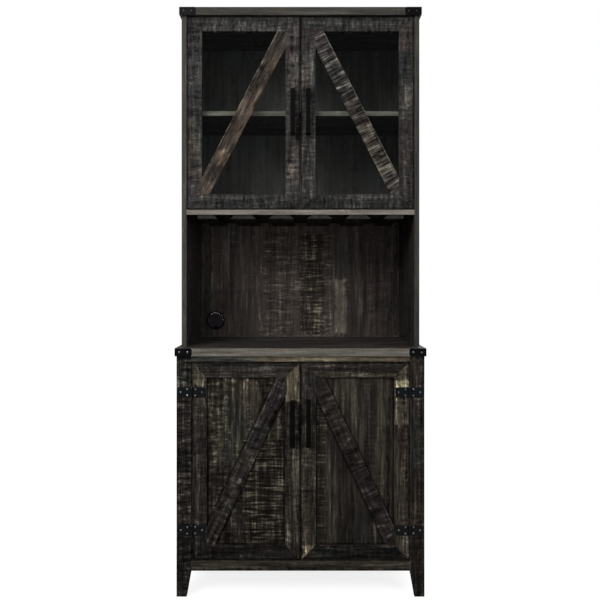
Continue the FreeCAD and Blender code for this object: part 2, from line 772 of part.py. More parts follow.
def make_fixed_hinge_parts():
    """The lower hinges' post leaves, pins and screws, and the cup hinges' plates and arms."""
    columns = [hinge_leaves("post_" + name, side, 1) for name, side in SIDES]
    node("hinge_post_leaves", group("all_post_leaves", columns))
    pins = [hinge_pin("hinge_pin_%s_%d" % (name, index), side, height)
            for name, side in SIDES for index, height in enumerate(HINGE_HEIGHTS)]
    node("hinge_pins", group("all_hinge_pins", pins))
    screws = [one for name, side in SIDES for one in hinge_screws("post_" + name, side, 1)]
    node("hinge_post_screws", group("all_post_screws", screws))
    arms = [hinge_arm("arm_%s_%d" % (name, index), side, height)
            for name, side in SIDES for index, height in enumerate(cup_heights())]
    node("cup_hinge_arms", group("all_arms", arms))


def cup_heights():
    """The heights of the concealed hinges."""
    return (UPPER_DOOR_LOW + S.cup_from_end, UPPER_DOOR_LOW + UPPER_DOOR_HIGH - S.cup_from_end)


def side_box(name, side, inner, wide, low_y, deep, middle_z, high):
    """A block that starts on a hutch side's inner face and reaches towards the middle."""
    start = inner - wide
    low_x = start if side > 0 else -inner
    return box(name, (low_x, low_y, middle_z - high / 2), (wide, deep, high))


def hinge_arm(name, side, height):
    """A mounting plate on the hutch side with the arm that reaches to the back of the door."""
    door_back = HUTCH_FACE + S.door_thick + S.cup_flange_thick + S.arm_gap
    plate_low = door_back + S.arm_long - S.plate_long
    plate = side_box(name + "_plate", side, HUTCH_INNER, S.plate_thick,
                     plate_low, S.plate_long, height, S.plate_high)
    arm = side_box(name + "_bar", side, HUTCH_INNER, S.arm_wide, door_back, S.arm_long, height, S.arm_high)
    nose = side_box(name + "_nose", side, HUTCH_INNER, S.arm_reach,
                    door_back, S.arm_nose, height, S.arm_high)
    return fused(name, [plate, arm, nose])


def make_catches():
    """Magnetic catches that hang from the counter behind the lower doors' strike plates."""
    catches = []
    face = BASE_FACE + S.door_thick + S.strike_thick + S.catch_gap
    low = strike_low()
    for name, side in SIDES:
        low_x = side * S.catch_middle - S.catch_wide / 2
        size = (S.catch_wide, S.catch_deep, UNDER_COUNTER - low)
        catches.append(box("catch_" + name, (low_x, face, low), size))
    node("door_catches", group("all_catches", catches))


def strike_low():
    """The lowest point of the strike plates."""
    return LOWER_DOOR_LOW + LOWER_DOOR_HIGH - S.strike_drop - S.strike_high


class Door:
    """One door, drawn from its hinge edge towards the edge where the two doors meet."""

    def __init__(self, name, side, hinge_edge, face, low, wide, high):
        self.name = name
        self.side = side
        self.hinge_edge = hinge_edge
        self.face = face
        self.low = low
        self.wide = wide
        self.high = high

    def point(self, across, back, up):
        """A point from its distance inward from the hinge edge, behind the face and above the foot."""
        return (self.side * (self.hinge_edge - across), self.face + back, self.low + up)

    def block(self, name, across, back, up, wide, deep, high):
        """A block placed the same way."""
        start = across if self.side < 0 else across + wide
        return box(name, self.point(start, back, up), (wide, deep, high))

    def board(self, name, points, back, thick):
        """A board with a straight-edged outline, drawn in the door's face."""
        drawn = [(-self.side * across, up) for across, up in points]
        piece = slab("%s_%s" % (self.name, name), "XZ_Plane", drawn, thick, reverse=True)
        return place(piece, self.point(0, back, 0))


def opening(door):
    """The width and height of the opening inside a door's frame."""
    return door.wide - S.member_wide * 2, door.high - S.member_wide * 2


def door_frame(door, recess, thick, stile_holes):
    """Two mitred stiles and two mitred rails, grooved for the panel or the glass."""
    wide, high, member = door.wide, door.high, S.member_wide
    groove_start = member - S.groove_deep - S.groove_clear
    groove_wide = wide - groove_start * 2
    groove_high = high - groove_start * 2

    def groove(name):
        return door.block("%s_%s_groove" % (door.name, name),
                          groove_start, recess - S.groove_clear, groove_start,
                          groove_wide, thick + S.groove_clear * 2, groove_high)

    outer = ((0, 0), (wide, 0), (wide, high), (0, high))
    inner = ((member, member), (wide - member, member),
             (wide - member, high - member), (member, high - member))
    stiles = [
        door.board("hinge_stile", (outer[0], inner[0], inner[3], outer[3]), 0, S.door_thick),
        door.board("meeting_stile", (outer[1], outer[2], inner[2], inner[1]), 0, S.door_thick),
    ]
    rails = [
        door.board("low_rail", (outer[0], outer[1], inner[1], inner[0]), 0, S.door_thick),
        door.board("high_rail", (outer[3], inner[3], inner[2], outer[2]), 0, S.door_thick),
    ]
    stile_pair = group(door.name + "_stile_pair", stiles)
    rail_pair = group(door.name + "_rail_pair", rails)
    node(door.name + "_stiles", cut(door.name + "_stiles_cut", stile_pair, [groove("stile")] + stile_holes))
    node(door.name + "_rails", cut(door.name + "_rails_cut", rail_pair, [groove("rail")]))


def door_filling(door, label, recess, thick):
    """The panel or glass that sits in the frame's groove."""
    start = S.member_wide - S.groove_deep
    filling = door.block("%s_filling" % door.name, start, recess, start,
                         door.wide - start * 2, thick, door.high - start * 2)
    node("%s_%s" % (door.name, label), filling)


def door_brace(door, recess):
    """The diagonal brace on the panel, from the low hinge corner to the high meeting corner."""
    wide, high = opening(door)
    long = diagonal(wide, high)
    along_low = S.brace_wide * long / (high * 2)
    along_side = S.brace_wide * long / (wide * 2)
    edge = S.member_wide
    points = (
        (edge, edge),
        (edge + along_low, edge),
        (edge + wide, edge + high - along_side),
        (edge + wide, edge + high),
        (edge + wide - along_low, edge + high),
        (edge, edge + along_side),
    )
    node(door.name + "_brace", door.board("brace", points, S.brace_inset, recess - S.brace_inset))


def handle_points(door, middle):
    """The points on the door's face where the handle's two legs stand, as inset and height."""
    across = door.wide - S.member_wide / 2
    return [(across, middle - S.handle_spacing / 2), (across, middle + S.handle_spacing / 2)]


def handle_holes(door, middle):
    """Holes through the meeting stile for the handle's screws."""
    return [
        rod("%s_handle_hole_%d" % (door.name, index), door.point(across, -S.overrun, up),
            S.handle_screw_radius + S.screw_clear, S.door_thick + S.overrun * 2, TO_REAR)
        for index, (across, up) in enumerate(handle_points(door, middle))]


def door_handle(door, middle):
    """A square bar handle on two legs, and the screws that hold it from behind."""
    half = S.handle_spacing / 2 + S.handle_leg / 2
    leg = half - S.handle_leg
    reach = -S.handle_reach
    inner = reach + S.handle_bar
    section = ((0, -half), (reach, -half), (reach, half), (0, half),
               (0, leg), (inner, leg), (inner, -leg), (0, -leg))
    body = new("PartDesign::Body", door.name + "_handle_bar")
    pad = add_slab(body, "YZ_Plane", section, S.handle_wide, middle=True)
    round_edges(body, pad, S.handle_round, lambda edge, point: same(point.y, reach.number))
    bar = place(body, door.point(door.wide - S.member_wide / 2, 0, middle))
    holes = []
    screws = []
    hole_radius = S.handle_screw_radius + S.screw_clear
    hole_long = S.handle_screw_bite + S.overrun
    shank_reach = S.handle_screw_bite - S.screw_clear
    for index, (across, up) in enumerate(handle_points(door, middle)):
        start = door.point(across, -S.handle_screw_bite, up)
        holes.append(rod("%s_leg_hole_%d" % (door.name, index), start, hole_radius, hole_long, TO_REAR))
        shank = rod("%s_bolt_%d" % (door.name, index), door.point(across, -shank_reach, up),
                    S.handle_screw_radius, shank_reach + S.door_thick, TO_REAR)
        head = crown("%s_bolt_head_%d" % (door.name, index), door.point(across, S.door_thick, up),
                     S.handle_screw_head_radius, S.handle_screw_radius, S.handle_screw_head_high, TO_REAR)
        screws.append(fused("%s_handle_bolt_%d" % (door.name, index), [shank, head]))
    node(door.name + "_handle", cut(door.name + "_handle_drilled", bar, holes))
    node(door.name + "_handle_screws", group(door.name + "_handle_bolts", screws))


def make_lower_door(name, side):
    """A panelled door of the base."""
    door = Door("lower_" + name, side, POST_INNER - S.door_gap, BASE_FACE,
                LOWER_DOOR_LOW, LOWER_DOOR_WIDE, LOWER_DOOR_HIGH)
    middle = door.high - S.lower_handle_drop
    holes = handle_holes(door, middle)
    holes += [pilot("%s_hinge_pilot_%d" % (door.name, index), at, TO_FRONT)
              for index, at in enumerate(hinge_screw_points(side, -1))]
    door_frame(door, S.panel_recess, S.panel_thick, holes)
    door_filling(door, "panel", S.panel_recess, S.panel_thick)
    door_brace(door, S.panel_recess)
    door_handle(door, middle)
    node(door.name + "_hinge_leaves", hinge_leaves(door.name, side, -1))
    node(door.name + "_hinge_screws", group(door.name + "_screws", hinge_screws(door.name, side, -1)))
    low_x = side * S.catch_middle - S.strike_wide / 2
    node(door.name + "_strike_plate",
         box(door.name + "_strike", (low_x, BASE_FACE + S.door_thick, strike_low()),
             (S.strike_wide, S.strike_thick, S.strike_high)))


def cup_hole(name, door, up):
    """The blind hole in the back of a stile for a hinge cup."""
    start = door.point(S.cup_from_edge, S.door_thick - S.cup_deep, up)
    return rod(name, start, S.cup_radius + S.cup_clear, S.cup_deep + S.overrun, TO_REAR)


def cup_hinge(name, door, up):
    """A hollow hinge cup in its hole, with its flange on the back of the stile."""
    start = S.door_thick - S.cup_deep + S.cup_clear
    cup = rod(name + "_cup", door.point(S.cup_from_edge, start, up),
              S.cup_radius, S.cup_deep - S.cup_clear, TO_REAR)
    flange = door.block(name + "_flange", S.cup_from_edge - S.cup_flange_wide / 2,
                        S.door_thick, up - S.cup_flange_high / 2,
                        S.cup_flange_wide, S.cup_flange_thick, S.cup_flange_high)
    hollow = rod(name + "_hollow", door.point(S.cup_from_edge, start + S.cup_wall, up),
                 S.cup_radius - S.cup_wall * 2, S.cup_deep + S.overrun, TO_REAR)
    return cut(name, fused(name + "_solid", [cup, flange]), [hollow])


def make_upper_door(name, side):
    """A glass door of the hutch."""
    door = Door("upper_" + name, side, HUTCH_INNER - S.door_gap, HUTCH_FACE,
                UPPER_DOOR_LOW, UPPER_DOOR_WIDE, UPPER_DOOR_HIGH)
    middle = door.high / 2
    cup_ups = (S.cup_from_end, door.high - S.cup_from_end)
    holes = handle_holes(door, middle)
    holes += [cup_hole("%s_cup_hole_%d" % (door.name, index), door, up) for index, up in enumerate(cup_ups)]
    door_frame(door, S.glass_recess, S.glass_thick, holes)
    door_filling(door, "glass", S.glass_recess, S.glass_thick)
    door_brace(door, S.glass_recess)
    door_handle(door, middle)
    cups = [cup_hinge("%s_hinge_%d" % (door.name, index), door, up) for index, up in enumerate(cup_ups)]
    node(door.name + "_cup_hinges", group(door.name + "_cups", cups))


def check_and_write():
    """Stops on anything that failed, then writes one file for each sub-part."""
    DOC.recompute()
    failed = [item.Name for item in DOC.Objects if "Invalid" in item.State or "Error" in item.State]
    if failed:
        raise RuntimeError("failed objects: " + ", ".join(failed))
    for piece in NODES:
        if piece.Shape.isNull() or not piece.Shape.isValid():
            raise RuntimeError("bad shape: " + piece.Label)
    os.makedirs("parts", exist_ok=True)
    for piece in NODES:
        piece.Shape.exportStep("parts/%s.step" % piece.Label)
        box_of = piece.Shape.BoundBox
        print("%-30s solids %2d  x %8.2f %8.2f  y %8.2f %8.2f  z %8.2f %8.2f" % (
            piece.Label, len(piece.Shape.Solids), box_of.XMin, box_of.XMax,
            box_of.YMin, box_of.YMax, box_of.ZMin, box_of.ZMax))
    print(len(NODES), "sub-parts")


make_base()
make_counter()
make_hutch()
make_shelf_pins()
make_brackets()
make_stemware_rails()
make_grommet()
make_fixed_hinge_parts()
make_catches()
for side_name, side_sign in SIDES:
    make_lower_door(side_name, side_sign)
for side_name, side_sign in SIDES:
    make_upper_door(side_name, side_sign)
check_and_write()
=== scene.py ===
"""Finishes, rounded arrises, screw heads, glass, studio and camera of a rustic bar cabinet.

Metres. +X is to the right, the front faces -Y and +Z is up. The boards are covered with printed
laminate: strips of reclaimed oak in charcoal, slate, olive and brown, with fibres, crosswise saw
marks and pale scuffs. Tones are written as 0 to 255 values, the way they look under plain light.
"""
import math
import random
from functools import partialmethod

import bmesh
import bpy
from mathutils import Euler, Matrix, Vector


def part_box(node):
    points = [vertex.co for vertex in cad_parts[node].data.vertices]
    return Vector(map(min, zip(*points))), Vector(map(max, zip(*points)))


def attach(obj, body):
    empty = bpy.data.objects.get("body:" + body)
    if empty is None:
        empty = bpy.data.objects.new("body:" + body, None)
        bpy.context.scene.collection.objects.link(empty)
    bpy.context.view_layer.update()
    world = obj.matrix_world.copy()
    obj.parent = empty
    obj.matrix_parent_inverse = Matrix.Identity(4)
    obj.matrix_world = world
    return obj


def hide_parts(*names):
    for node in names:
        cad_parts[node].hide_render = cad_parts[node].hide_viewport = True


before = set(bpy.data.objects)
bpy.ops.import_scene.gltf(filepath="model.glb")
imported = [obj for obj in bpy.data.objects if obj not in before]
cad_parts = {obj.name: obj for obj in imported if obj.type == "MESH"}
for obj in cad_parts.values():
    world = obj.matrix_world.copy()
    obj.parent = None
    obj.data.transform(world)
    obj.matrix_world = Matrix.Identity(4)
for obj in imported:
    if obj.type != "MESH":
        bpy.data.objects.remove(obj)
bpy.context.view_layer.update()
MM = 0.001
QUARTER = math.pi / 2
SIDES = (("left", -1), ("right", 1))


def tone(red, green, blue):
    """A colour as it looks on screen, in Blender's linear values."""
    def linear(value):
        share = value / 255
        return share / 12.92 if share <= 0.04045 else ((share + 0.055) / 1.055) ** 2.4
    return linear(red), linear(green), linear(blue), 1.0


# Wiring of shader nodes

MIX_INPUTS = (0, 6, 7)
MIX_RESULT = 2
ORIGIN = (0.0, 0.0, 0.0)
EVEN = (1.0, 1.0, 1.0)


class Wires:
    """Short calls that add nodes to one tree. A value is a number, a colour or a node's output."""

    def __init__(self, tree):
        self.tree = tree

    def feed(self, socket, value):
        if isinstance(value, bpy.types.NodeSocket):
            self.tree.links.new(value, socket)
        else:
            socket.default_value = value

    def feed_all(self, sockets, values):
        for socket, value in zip(sockets, values):
            self.feed(socket, value)

    def add(self, kind, inputs=None, **settings):
        made = self.tree.nodes.new("ShaderNode" + kind)
        for name, value in settings.items():
            setattr(made, name, value)
        for name, value in (inputs or {}).items():
            self.feed(made.inputs[name], value)
        return made

    def sum(self, operation, *values):
        made = self.add("Math", operation=operation)
        self.feed_all(made.inputs, values)
        return made.outputs[0]

    plus = partialmethod(sum, "ADD")
    minus = partialmethod(sum, "SUBTRACT")
    times = partialmethod(sum, "MULTIPLY")
    over = partialmethod(sum, "DIVIDE")
    least = partialmethod(sum, "MINIMUM")
    most = partialmethod(sum, "MAXIMUM")
    away = partialmethod(sum, "ABSOLUTE")
    whole = partialmethod(sum, "FLOOR")

    def rise(self, value, low, high, shape="LINEAR"):
        """0 up to low, 1 from high on, and a straight rise in between."""
        return self.add("MapRange", {"Value": value, "From Min": low, "From Max": high},
                        interpolation_type=shape).outputs["Result"]

    def between(self, value, low, high):
        """The same with a smooth rise."""
        return self.rise(value, low, high, "SMOOTHSTEP")

    def centred(self, value, gain):
        """A value around 0.5, moved to be around 0 and stretched."""
        return self.times(self.minus(value, 0.5), gain)

    def blend(self, share, under, over, how="MIX"):
        made = self.add("Mix", data_type="RGBA", blend_type=how)
        self.feed_all([made.inputs[index] for index in MIX_INPUTS], (share, under, over))
        return made.outputs[MIX_RESULT]

    def vector(self, operation, *values):
        made = self.add("VectorMath", operation=operation)
        self.feed_all(made.inputs, values)
        return made.outputs[0]

    def parts(self, vector):
        return self.add("SeparateXYZ", {"Vector": vector}).outputs

    def joined(self, x, y, z):
        return self.add("CombineXYZ", {"X": x, "Y": y, "Z": z}).outputs[0]

    def noise(self, vector, stretch, detail=2.0, roughness=0.5, result="Fac"):
        """Noise whose features are 1 / stretch metres long along each axis."""
        return self.add("TexNoise", {
            "Vector": self.vector("MULTIPLY", vector, stretch), "Scale": 1.0,
            "Detail": detail, "Roughness": roughness}).outputs[result]

    def channels(self, colour):
        return self.add("SeparateColor", {"Color": colour}).outputs

    def spot(self):
        """A point's place in the part's own frame."""
        return self.add("TexCoord").outputs["Object"]

    def mixed(self, share, under, over):
        """A shader that is over to a share and under for the rest."""
        made = self.add("MixShader")
        self.feed_all(made.inputs, (share, under, over))
        return made.outputs[0]

    def show(self, kind, shader):
        self.feed(self.add("Output" + kind).inputs["Surface"], shader)


def new_group(name, inputs, outputs):
    """A shader node group: its wires, its given values by name, and its results by name."""
    tree = bpy.data.node_groups.new(name, "ShaderNodeTree")
    for title, usual in inputs.items():
        kind = "Float" if isinstance(usual, float) else {3: "Vector", 4: "Color"}[len(usual)]
        made = tree.interface.new_socket(name=title, in_out="INPUT",
                                         socket_type="NodeSocket" + kind)
        made.default_value = usual
    for title in outputs:
        kind = "Color" if title == "Color" else "Float"
        tree.interface.new_socket(name=title, in_out="OUTPUT", socket_type="NodeSocket" + kind)
    given = tree.nodes.new("NodeGroupInput").outputs
    results = tree.nodes.new("NodeGroupOutput").inputs
    return Wires(tree), given, results


def placed(wires, name, inputs):
    """One of the groups, placed in a material with its own values."""
    return wires.add("Group", inputs, node_tree=bpy.data.node_groups[name]).outputs


def new_object(name, data):
    """An object in the scene."""
    made = bpy.data.objects.new(name, data)
    bpy.context.scene.collection.objects.link(made)
    return made


# Node groups

GREY = tone(60, 58, 56)
SEED_STEP = (0.731, 0.417, 1.313)

# The printed oak. Counts of features are per metre along X, Y and Z; a gain moves the level.
STRIP_WOBBLES = (9, 9, 3)
WOBBLE_GAIN = 0.8
COLUMN_STEP = 1.37
LAYER_STEP = 2.11
NARROW_STRIPS = (1.0, 1.0)
BROAD_STRIPS = (3.4, 1.8)
NARROW_GAIN = 1.1
BROAD_GAIN = 0.9
FIBRES_ACROSS = 100.0
FIBRE_BREAKS = 5.0
FIBRE_GAIN = 3.3
FINE_FIBRES = (230, 230, 22)
FINE_FIBRE_GAIN = 1.8
FLECKS = (150, 150, 110)
FLECK_GAIN = 1.1
BROAD_SAW_ROWS = (14, 0.6, 2.2)
SAW_ROW_BREAKS = 80.0
SAW_ROW_GAIN = 2.0
SAWN_AREAS = (16, 16, 4)
WORN_AREAS = (18, 18, 4)
WORN_OFFSET = (3.1, 1.7, 5.3)
RUBS = (180, 180, 60)
RUBBED = (0.5, 0.66)
SCUFF_GAIN = 0.35
AREA_LIMIT = 0.68
AREA_RANGE = 0.34
AREA_EDGE = 0.05
ROUGH_GRAIN = 0.65
ROUGH_ROWS = 0.6
FINE_DETAIL = 3.0
MIDDLE_LEVEL = 0.42
LIGHT_LEVELS = (0.46, 0.74)
PALE_LEVELS = (0.74, 1.05)
PRINT_ROUGHNESS = 0.72
LEVEL_GLOSS = 0.12

PRINT_TONES = ("Dark", "Middle", "Light", "Pale", "Warm", "Cool")


def make_printed_wood():
    """Printed reclaimed oak. The grain runs along Z; lengths are in metres.

    One level runs from dark over middle and light to pale. Strips, fibres and saw marks move it.
    """
    wires, given, results = new_group("printed_wood", {
        "Vector": ORIGIN, "Seed": 0.0, "Strip Width": 20 * MM, "Strip Length": 200 * MM,
        "Strip Contrast": 0.5, **dict.fromkeys(PRINT_TONES, GREY), "Warm Share": 0.1,
        "Cool Share": 0.1, "Fibre": 0.5, "Fibre Breaks": FIBRE_BREAKS, "Saw Pitch": 4 * MM,
        "Saw Depth": 0.5, "Saw Share": 0.3, "Saw Breaks": SAW_ROW_BREAKS, "Scuff Share": 0.1,
        "Lift": 0.0}, ["Color", "Roughness", "Height"])
    moved = wires.vector("ADD", given["Vector"], wires.joined(
        *[wires.times(given["Seed"], step) for step in SEED_STEP]))
    x, y, z = wires.parts(moved)
    wobble = wires.centred(wires.noise(moved, STRIP_WOBBLES), WOBBLE_GAIN)

    def strips(wide_factor, long_factor):
        """Random values that jump from strip to strip and change along each."""
        wide = wires.times(given["Strip Width"], wide_factor)
        column = wires.whole(wires.plus(wires.over(x, wide), wobble))
        layer = wires.whole(wires.over(y, wide))
        run = wires.over(z, wires.times(given["Strip Length"], long_factor))
        place = wires.joined(wires.times(column, COLUMN_STEP), wires.times(layer, LAYER_STEP), run)
        return wires.channels(wires.noise(place, EVEN, result="Color"))

    def area(value, share):
        """Where a random value passes a limit that a share of the surface passes."""
        limit = wires.minus(AREA_LIMIT, wires.times(share, AREA_RANGE))
        return wires.between(value, limit, wires.plus(limit, AREA_EDGE))

    def grain(counts, gain, detail=FINE_DETAIL, roughness=ROUGH_GRAIN):
        """Marks that run with the grain."""
        return wires.centred(wires.noise(moved, counts, detail, roughness), gain)

    def saw_rows(wide, per_pitch, gain):
        """Marks that run across the grain."""
        pitches = wires.over(wires.times(z, per_pitch), given["Saw Pitch"])
        rows = wires.joined(wires.times(x, wide), wires.times(y, wide), pitches)
        return wires.centred(wires.noise(rows, EVEN, FINE_DETAIL, ROUGH_ROWS), gain)

    narrow = strips(*NARROW_STRIPS)
    broad = strips(*BROAD_STRIPS)
    strip = wires.plus(wires.centred(narrow[0], NARROW_GAIN), wires.centred(broad[0], BROAD_GAIN))

    long_fibres = wires.joined(FIBRES_ACROSS, FIBRES_ACROSS, given["Fibre Breaks"])
    fibre = wires.plus(grain(long_fibres, FIBRE_GAIN), wires.plus(
        grain(FINE_FIBRES, FINE_FIBRE_GAIN, 2.0, ROUGH_ROWS), grain(FLECKS, FLECK_GAIN)))

    sawn = area(wires.noise(moved, SAWN_AREAS, FINE_DETAIL), given["Saw Share"])
    saw = wires.times(sawn, wires.plus(
        saw_rows(*BROAD_SAW_ROWS), saw_rows(given["Saw Breaks"], 1.0, SAW_ROW_GAIN)))

    worn = area(wires.noise(wires.vector("ADD", moved, WORN_OFFSET), WORN_AREAS, FINE_DETAIL),
                given["Scuff Share"])
    rubbed = wires.between(wires.noise(moved, RUBS, FINE_DETAIL, ROUGH_GRAIN), *RUBBED)
    scuff = wires.times(rubbed, worn)

    level = wires.plus(MIDDLE_LEVEL, wires.times(strip, given["Strip Contrast"]))
    level = wires.plus(level, wires.times(fibre, given["Fibre"]))
    level = wires.plus(level, wires.times(saw, given["Saw Depth"]))
    level = wires.plus(level, wires.plus(given["Lift"], wires.times(scuff, SCUFF_GAIN)))

    middle = wires.blend(area(narrow[1], given["Warm Share"]), given["Middle"], given["Warm"])
    middle = wires.blend(area(broad[2], given["Cool Share"]), middle, given["Cool"])
    colour = wires.blend(wires.rise(level, 0.0, MIDDLE_LEVEL), given["Dark"], middle)
    colour = wires.blend(wires.rise(level, *LIGHT_LEVELS), colour, given["Light"])
    colour = wires.blend(wires.rise(level, *PALE_LEVELS), colour, given["Pale"])

    wires.feed(results["Color"], colour)
    wires.feed(results["Roughness"], wires.minus(PRINT_ROUGHNESS, wires.times(level, LEVEL_GLOSS)))
    wires.feed(results["Height"], level)


MEMBER_WIDE = 45 * MM
PANEL_LAP = 8 * MM
BRACE_HALF_WIDE = 23 * MM
ARRIS_REACH = 2 * MM
BRACE_REACH = 3 * MM
# Painted shade: its reach in a panel's recess, and its fade along a frame's outer gap
RECESS_SHADE_REACH = 9 * MM
GAP_SHADE = (5 * MM, 1.5 * MM)
FRONT_FACE = (1.5 * MM, 0.5 * MM)
WEAR_BREAKS = (55, 55, 55)
WEAR_SHOWS = (0.4, 0.6)
BOARD = {"Vector": ORIGIN, "Low": ORIGIN, "High": EVEN}


def inner_depth(wires, given):
    """How deep a point lies in a board, along X, Y and Z."""
    return wires.parts(wires.vector(
        "MINIMUM", wires.vector("SUBTRACT", given["Vector"], given["Low"]),
        wires.vector("SUBTRACT", given["High"], given["Vector"])))


def ragged(wires, given, near):
    """Turns a distance from an arris into broken wear."""
    breaks = wires.noise(given["Vector"], WEAR_BREAKS, FINE_DETAIL)
    reach = wires.times(given["Reach"], wires.times(breaks, 2.0))
    return wires.times(wires.between(near, reach, 0.0), wires.between(breaks, *WEAR_SHOWS))


def make_board_arris():
    """A mask that is 1 on a board's arrises and falls to 0 within a reach, broken up by noise."""
    wires, given, results = new_group("board_arris", {**BOARD, "Reach": ARRIS_REACH}, ["Mask"])
    x, y, z = inner_depth(wires, given)
    near = wires.most(wires.least(x, y), wires.least(wires.most(x, y), z))
    wires.feed(results["Mask"], ragged(wires, given, near))


def make_frame_arris():
    """The same mask for a door frame with a rectangular opening, and painted shade in its outer
    gap.
    """
    wires, given, results = new_group("frame_arris", {
        **BOARD, "Member": MEMBER_WIDE, "Reach": ARRIS_REACH}, ["Mask", "Gap Shade"])
    x, y, z = inner_depth(wires, given)
    outside = wires.least(x, z)
    inside = wires.away(wires.minus(given["Member"], outside))
    near = wires.most(wires.least(wires.away(outside), inside), y)
    wires.feed(results["Mask"], ragged(wires, given, near))
    # Painted shade: darker within a few millimetres of the outer edge, where the gap is in shadow
    wires.feed(results["Gap Shade"], wires.between(wires.away(outside), *GAP_SHADE))


def make_recess_shade():
    """A mask of painted shade on a panel's front, in its corners along the frame and beside the
    brace.
    """
    wires, given, results = new_group("recess_shade", {
        **BOARD, "Brace Vector": ORIGIN}, ["Mask"])
    x, _, z = inner_depth(wires, given)
    beside_frame = wires.minus(wires.least(x, z), PANEL_LAP)
    beside_brace = wires.minus(wires.away(wires.parts(given["Brace Vector"])[0]), BRACE_HALF_WIDE)
    near = wires.least(beside_frame, beside_brace)
    behind = wires.minus(wires.parts(given["Vector"])[1], wires.parts(given["Low"])[1])
    wires.feed(results["Mask"], wires.times(wires.between(near, RECESS_SHADE_REACH, 0.0),
                                            wires.between(behind, *FRONT_FACE)))


PATCH_EDGE = 4 * MM
PATCH_SHAKE = 40 * MM
FLECK_HOLES = (0.42, 0.56)


def make_ragged_patch():
    """A mask over a box-shaped area with ragged edges. Broken turns it into separate flecks."""
    wires, given, results = new_group("ragged_patch", {
        "Vector": ORIGIN, "Centre": ORIGIN, "Half Size": EVEN, "Ragged": 0.5, "Flecks": 0.5,
        "Strength": 1.0, "Broken": 0.0}, ["Mask"])
    off = wires.vector("ABSOLUTE", wires.vector("SUBTRACT", given["Vector"], given["Centre"]))
    x, y, z = wires.parts(wires.vector("SUBTRACT", off, given["Half Size"]))
    beyond = wires.most(x, wires.most(y, z))
    shaky = wires.plus(beyond, wires.centred(given["Ragged"], PATCH_SHAKE))
    inside = wires.between(shaky, PATCH_EDGE, -PATCH_EDGE)
    holes = wires.minus(1.0, wires.between(given["Flecks"], *FLECK_HOLES))
    kept = wires.minus(1.0, wires.times(holes, given["Broken"]))
    wires.feed(results["Mask"], wires.times(inside, wires.times(kept, given["Strength"])))


SCRATCH_THIN = 0.02
SCRATCH_SHOWS = (0.6, 0.72)
SMUDGES = (22, 22, 22)
SMUDGE_SHOWS = (0.4, 0.65)


def make_handling_marks():
    """Fine speckle, hair scratches and smudges for metal, plastic and glass."""
    wires, given, results = new_group("handling_marks", {
        "Vector": ORIGIN, "Speckle Size": 0.6 * MM, "Scratch Length": 20 * MM,
    }, ["Speckle", "Scratches", "Smudges"])
    grains = wires.vector("DIVIDE", given["Vector"], wires.joined(*[given["Speckle Size"]] * 3))
    wires.feed(results["Speckle"], wires.noise(grains, EVEN))
    across = wires.over(1.0, wires.times(given["Scratch Length"], SCRATCH_THIN))
    along = wires.over(1.0, given["Scratch Length"])
    hairs = wires.vector("MULTIPLY", given["Vector"], wires.joined(across, across, along))
    wires.feed(results["Scratches"], wires.between(wires.noise(hairs, EVEN), *SCRATCH_SHOWS))
    smudges = wires.noise(given["Vector"], SMUDGES, FINE_DETAIL)
    wires.feed(results["Smudges"], wires.between(smudges, *SMUDGE_SHOWS))


make_printed_wood()
make_board_arris()
make_frame_arris()
make_recess_shade()
make_ragged_patch()
make_handling_marks()

# Finishes

GRAIN_UP = (0, 0, 0)
GRAIN_ACROSS = (0, -QUARTER, 0)
GRAIN_BACK = (QUARTER, 0, 0)
INLAY_SEED = 17
BAND_SEED = 3
REAR_SEED = 5
LAMINATE_GLOSS = 0.15
ARRIS_WEAR = (0.4, tone(88, 83, 76))
# The pale upper arris of the upper braces: rubbed wear and a painted highlight
BRACE_WEAR_AND_HIGHLIGHT = (0.75, tone(132, 127, 119))
BROKEN_PALE = 1.0
BROKEN_TINT = 0.3
PALE_SUM = 320
PATCH_HUE = 0.6
PATCH_OUTLINE_NOISE = (70, 70, 30)
PATCH_FLECK_NOISE = (150, 150, 42)
# Painted shade: the colour that darkens a panel's recess, the brace's sides and a frame's outer
# gap, and its share
PAINTED_SHADE = (0.16, 0.15, 0.14, 1.0)
PAINTED_SHADE_SHARE = 0.85
SKIN_FROM = 0.4 * MM
SKIN_TO = 1.2 * MM
MIDDLE_TONE = 1

